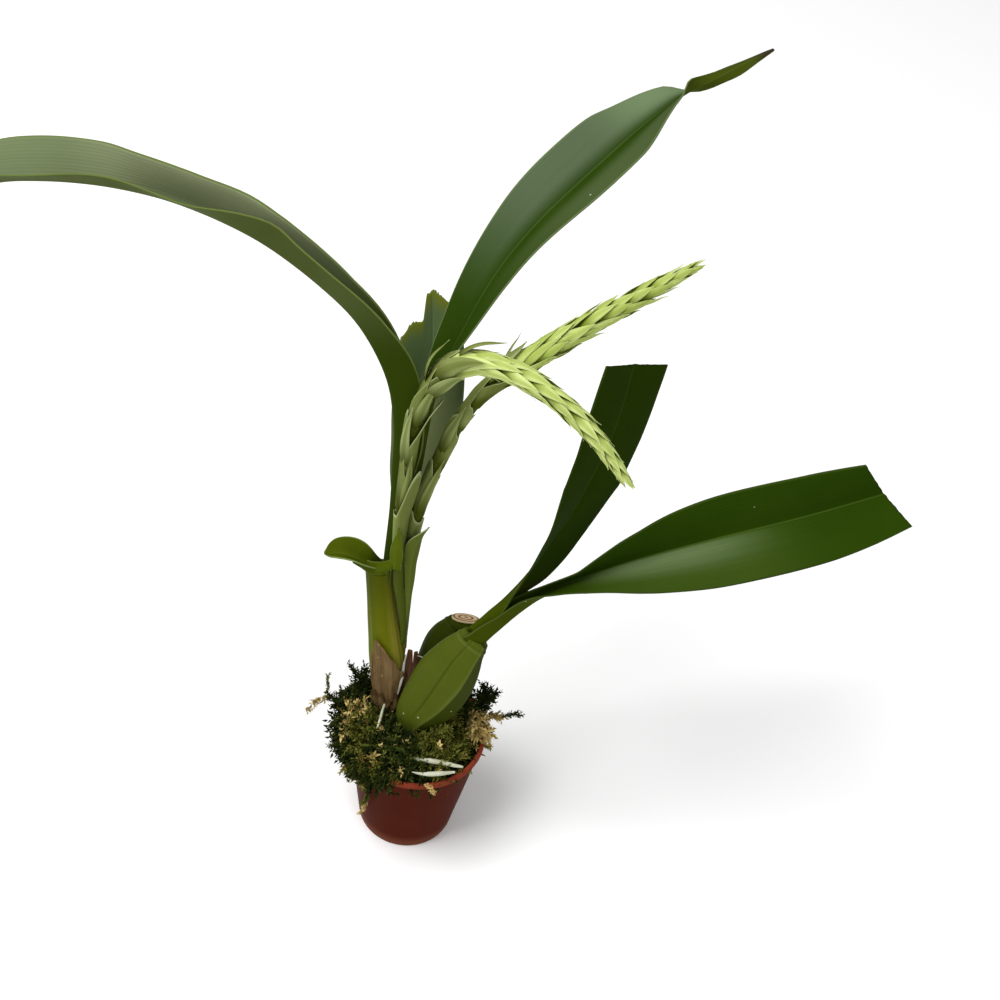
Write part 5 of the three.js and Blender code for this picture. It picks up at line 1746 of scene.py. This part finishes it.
def scatter(name, patterns, rows, material):
    """One mesh of many strands; each row is a root, direction, size and tint."""
    points, faces, tints = [], [], []
    for index, (root, direction, size, tint) in enumerate(rows):
        pattern = patterns[index % len(patterns)]
        spin = Matrix.Rotation(index * 2.4, 3, "Z")
        turn = direction.to_track_quat("Z", "Y").to_matrix() @ spin
        start = len(points)
        for corner, vertex in enumerate(pattern.vertices):
            points.append(root + turn @ (vertex.co * size))
            tints.append(tint + TIP_PALER if corner % LEAFLET_POINTS == LEAFLET_TIP else tint * 0.8)
        for face in pattern.polygons:
            faces.append([start + corner for corner in face.vertices])
    data = bpy.data.meshes.new(name)
    data.from_pydata([tuple(point) for point in points], [], faces)
    data.attributes.new("tint", "FLOAT", "POINT").data.foreach_set("value", tints)
    piece = bpy.data.objects.new(name, data)
    bpy.context.scene.collection.objects.link(piece)
    dress(piece, material)
    return piece


def inside_bulbs(x, y):
    """Whether a point of the moss lies under a bulb or the new growth."""
    for spine, reach in ((FRONT_BULB, 7.5), (REAR_BULB, 7.0), (GROWTH, 4.6)):
        at = spine.point(0.1)
        if math.hypot(x - at.x, y - at.y) < reach:
            return True
    return False


# Patches of the moss: where each is, how far it reaches and its kind. The dark kind, at the left and the
# back, is partly the moss's own dark green and partly painted shade.
MOSS_PATCHES = [
    (-26, -1.8, 5, "gold"), (-20, -8, 8, "olive"), (-31, -12, 9, "dark"), (-11, -12, 8, "dark"),
    (-4, -9, 7, "dark"), (3, -10, 8, "olive"), (10, -5, 8, "olive"), (14, 3, 6, "olive"),
    (16, -12, 7, "olive"), (23, 8, 5, "gold"), (25, 0, 7, "gold"), (23, -11, 6, "olive"),
    (-6, -24, 9, "dark"), (-19, -22, 8, "olive"), (0, -19, 6, "dark"), (-30, 6, 10, "dark"),
    (-14, 18, 14, "dark"), (8, 22, 12, "dark"), (22, 18, 9, "dark"),
]
MOSS_KINDS = {"dark": MOSS_DARK_AND_PAINTED_SHADE, "olive": MOSS_OLIVE, "gold": MOSS_GOLD}


def moss_kind(x, y, chance):
    """The kind of moss at a point: the nearest patch's, with some strays."""
    stray = chance.uniform(0, 1)
    if stray < 0.24:
        return chance.choice(("dark", "olive", "olive", "gold"))
    drift_x = noise.noise(Vector((x, y, 5)) * 0.2) * 5
    drift_y = noise.noise(Vector((x, y, 80)) * 0.2) * 5
    spot = Vector((x + drift_x, y + drift_y, 0))

    def distance(patch):
        middle_x, middle_y, reach, _ = patch
        return math.hypot(spot.x - middle_x, spot.y - middle_y) / reach

    return min(MOSS_PATCHES, key=distance)[3]


def carpet_strands(chance):
    """Strands all over the cushion, lying outwards, drooping at its edge."""
    rows = {kind: [] for kind in MOSS_KINDS}
    for _ in range(MOSS_STRANDS):
        angle = chance.uniform(0, 2 * math.pi)
        share = math.sqrt(chance.uniform(0.01, 1.0))
        radius = moss_reach(angle) * share
        x, y = math.cos(angle) * radius, math.sin(angle) * radius
        if inside_bulbs(x, y):
            continue
        root = Vector((x, y, moss_height(angle, share) - 1.6))
        rim = ramp(share, 0.72, 1.0)
        outward = 0.25 + 0.8 * rim if x < 0 or y > 0 else 0.1
        direction = around(angle, outward, 0.75 - 0.75 * rim)
        direction += Vector((chance.uniform(-1, 1), chance.uniform(-1, 1), chance.uniform(-0.4, 0.3)))
        tint = chance.uniform(0, 1) ** 1.6
        size = chance.uniform(3.6, 6.2)
        rows[moss_kind(x, y, chance)].append((root, direction.normalized(), size, tint))
    return rows


def hanging_strands(chance, first, last, count, height, reach):
    """Strands that hang over the rim between two angles."""
    rows = []
    for _ in range(count):
        angle = math.radians(chance.uniform(first, last))
        radius = moss_reach(angle) * chance.uniform(0.88, 1.0)
        root = around(angle, radius, chance.uniform(*height))
        direction = around(angle, 1, chance.uniform(-1.8, -0.1))
        direction += Vector((chance.uniform(-0.5, 0.5), chance.uniform(-0.5, 0.5), 0))
        rows.append((root, direction.normalized(), chance.uniform(*reach), chance.uniform(0, 0.5)))
    return rows


def sprig(chance, path, size, tints, spread, count):
    """A loose sprig: strands set all along a line, leaning outwards from it."""
    spine = Spine(path)
    rows = []
    for index in range(count):
        place = index / count
        direction = spine.tangent(place) + Vector([chance.uniform(-spread, spread) for _ in range(3)])
        length = size * chance.uniform(0.7, 1.2)
        rows.append((spine.point(place), direction.normalized(), length, chance.uniform(*tints)))
    return rows


# Moss that hangs over the rim: its kind, from and to which angle, how many strands, heights and lengths. The
# dark kind on the left is partly painted shade.
HANGING_MOSS = [
    ("dark", 150, 232, 230, (52, 58), (3, 5.6)),
    ("dark", 228, 256, 70, (55.5, 58.5), (3, 4.5)),
    ("olive", 225, 262, 50, (56.5, 59), (2.5, 4)),
]

# Each sprig: its kind, its line, how long its strands are, their tints, their spread and their number
SPRIGS = [
    # the upright tufts behind, left and right
    ("dark", [(-23.4, 6, 59), (-25, 10, 64), (-24.8, 12.6, 69)], 4.2, (0, 0.4), 1.0, 40),
    ("dark", [(-23, 8, 60), (-27, 12, 65), (-30, 14, 68)], 3.6, (0, 0.5), 0.9, 26),
    ("dark", [(22.6, 9.4, 60), (23.6, 10, 68), (23.2, 10, 75)], 4.6, (0, 0.5), 1.0, 46),
    ("dark", [(23, 10, 62), (26, 10, 68), (26.6, 10, 72)], 4.2, (0, 0.4), 1.0, 30),
    # the sprigs that stand out at both sides
    ("gold", [(22.5, 6.5, 59), (25.5, 7, 61), (29.5, 7.6, 62)], 4.8, (0.2, 1.0), 0.7, 14),
    ("dark", [(28.5, 7.6, 61), (33, 8, 62.5), (38, 8.3, 64.5)], 3.2, (0.2, 0.8), 0.55, 26),
    ("dark", [(-30, 2.5, 57), (-34, 3.9, 59), (-36.4, 2.8, 62)], 3.4, (0.2, 0.7), 0.5, 24),
    ("gold", [(-36.4, 2.8, 62), (-39.6, -0.6, 62), (-42.9, -5.3, 62)], 3.2, (0.1, 0.8), 0.5, 18),
    ("olive", [(-36.4, 2.8, 62), (-37.4, 5, 64.4), (-37.8, 6.8, 67)], 2.6, (0.1, 0.6), 0.35, 12),
    # the strand that hangs down the pot, pale at its end, and the curl on the rim
    ("olive", [(-14.6, -23.4, 56), (-15.4, -24.4, 50), (-14.8, -23.6, 44), (-14.8, -21.9, 34),
               (-15.4, -20.4, 27)], 2.8, (0, 0.5), 0.5, 30),
    ("gold", [(-15.4, -20.6, 28), (-16, -19.6, 22), (-17, -18.4, 17)], 2.2, (0.4, 1), 0.35, 14),
    ("gold", [(7, -27.4, 57.4), (9.4, -28.2, 57), (11, -28, 54.6)], 1.9, (0.6, 1), 0.8, 16),
    # golden bits on the right
    ("gold", [(20, 9, 61), (22.6, 4, 62), (24, -2, 60.5)], 5.5, (0.2, 1), 1.0, 30),
    # moss up against the front bulb's foot
    ("olive", [(0, -9.5, 60), (6.4, -9, 63), (11, -6.5, 67)], 4.2, (0, 0.8), 1.0, 60),
    ("olive", [(5, -8, 62), (11, -5, 66), (14.6, 0, 68)], 4.2, (0, 0.7), 1.0, 50),
    ("dark", [(9, -6, 60), (14, -1, 65), (17, 6, 68)], 4.6, (0, 0.6), 1.0, 54),
]


def make_moss():
    """The moss: a felt with three kinds of strands set all over it."""
    chance = random.Random(MOSS_SEED)
    patterns = [strand_pattern(chance) for _ in range(STRAND_PATTERNS)]
    rows = carpet_strands(chance)
    for kind, *hanging in HANGING_MOSS:
        rows[kind] += hanging_strands(chance, *hanging)
    for kind, *loose in SPRIGS:
        rows[kind] += sprig(chance, *loose)
    pieces = []
    for kind, material in MOSS_KINDS.items():
        pieces.append(scatter("moss_" + kind + "_strands", patterns, rows[kind], material))
    finished(joined([make_felt(), pieces[0]], "moss_cushion"), ["moss"], smooth=False)
    for piece in pieces[1:]:
        finished(piece, smooth=False)
    for pattern in patterns:
        bpy.data.meshes.remove(pattern)


# Making it all

set_camera()
set_studio()
make_pot()
make_bulb("bulb_front_body", FRONT_BULB, BULB_SHAPE, FRONT_BULB_HALVES, BULB_SKIN, "bulb_front")
make_bulb("bulb_rear_body", REAR_BULB, REAR_SHAPE, REAR_BULB_HALVES, OLD_BULB_SKIN, "bulb_rear")
make_stub()
make_growth()
make_collar()
make_foot_sheath()
make_papery_sheath()
make_leaves()
make_spikes()
make_roots()
make_moss()
for name in ("bark_fill", "rhizome"):
    dress(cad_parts[name], BARK)
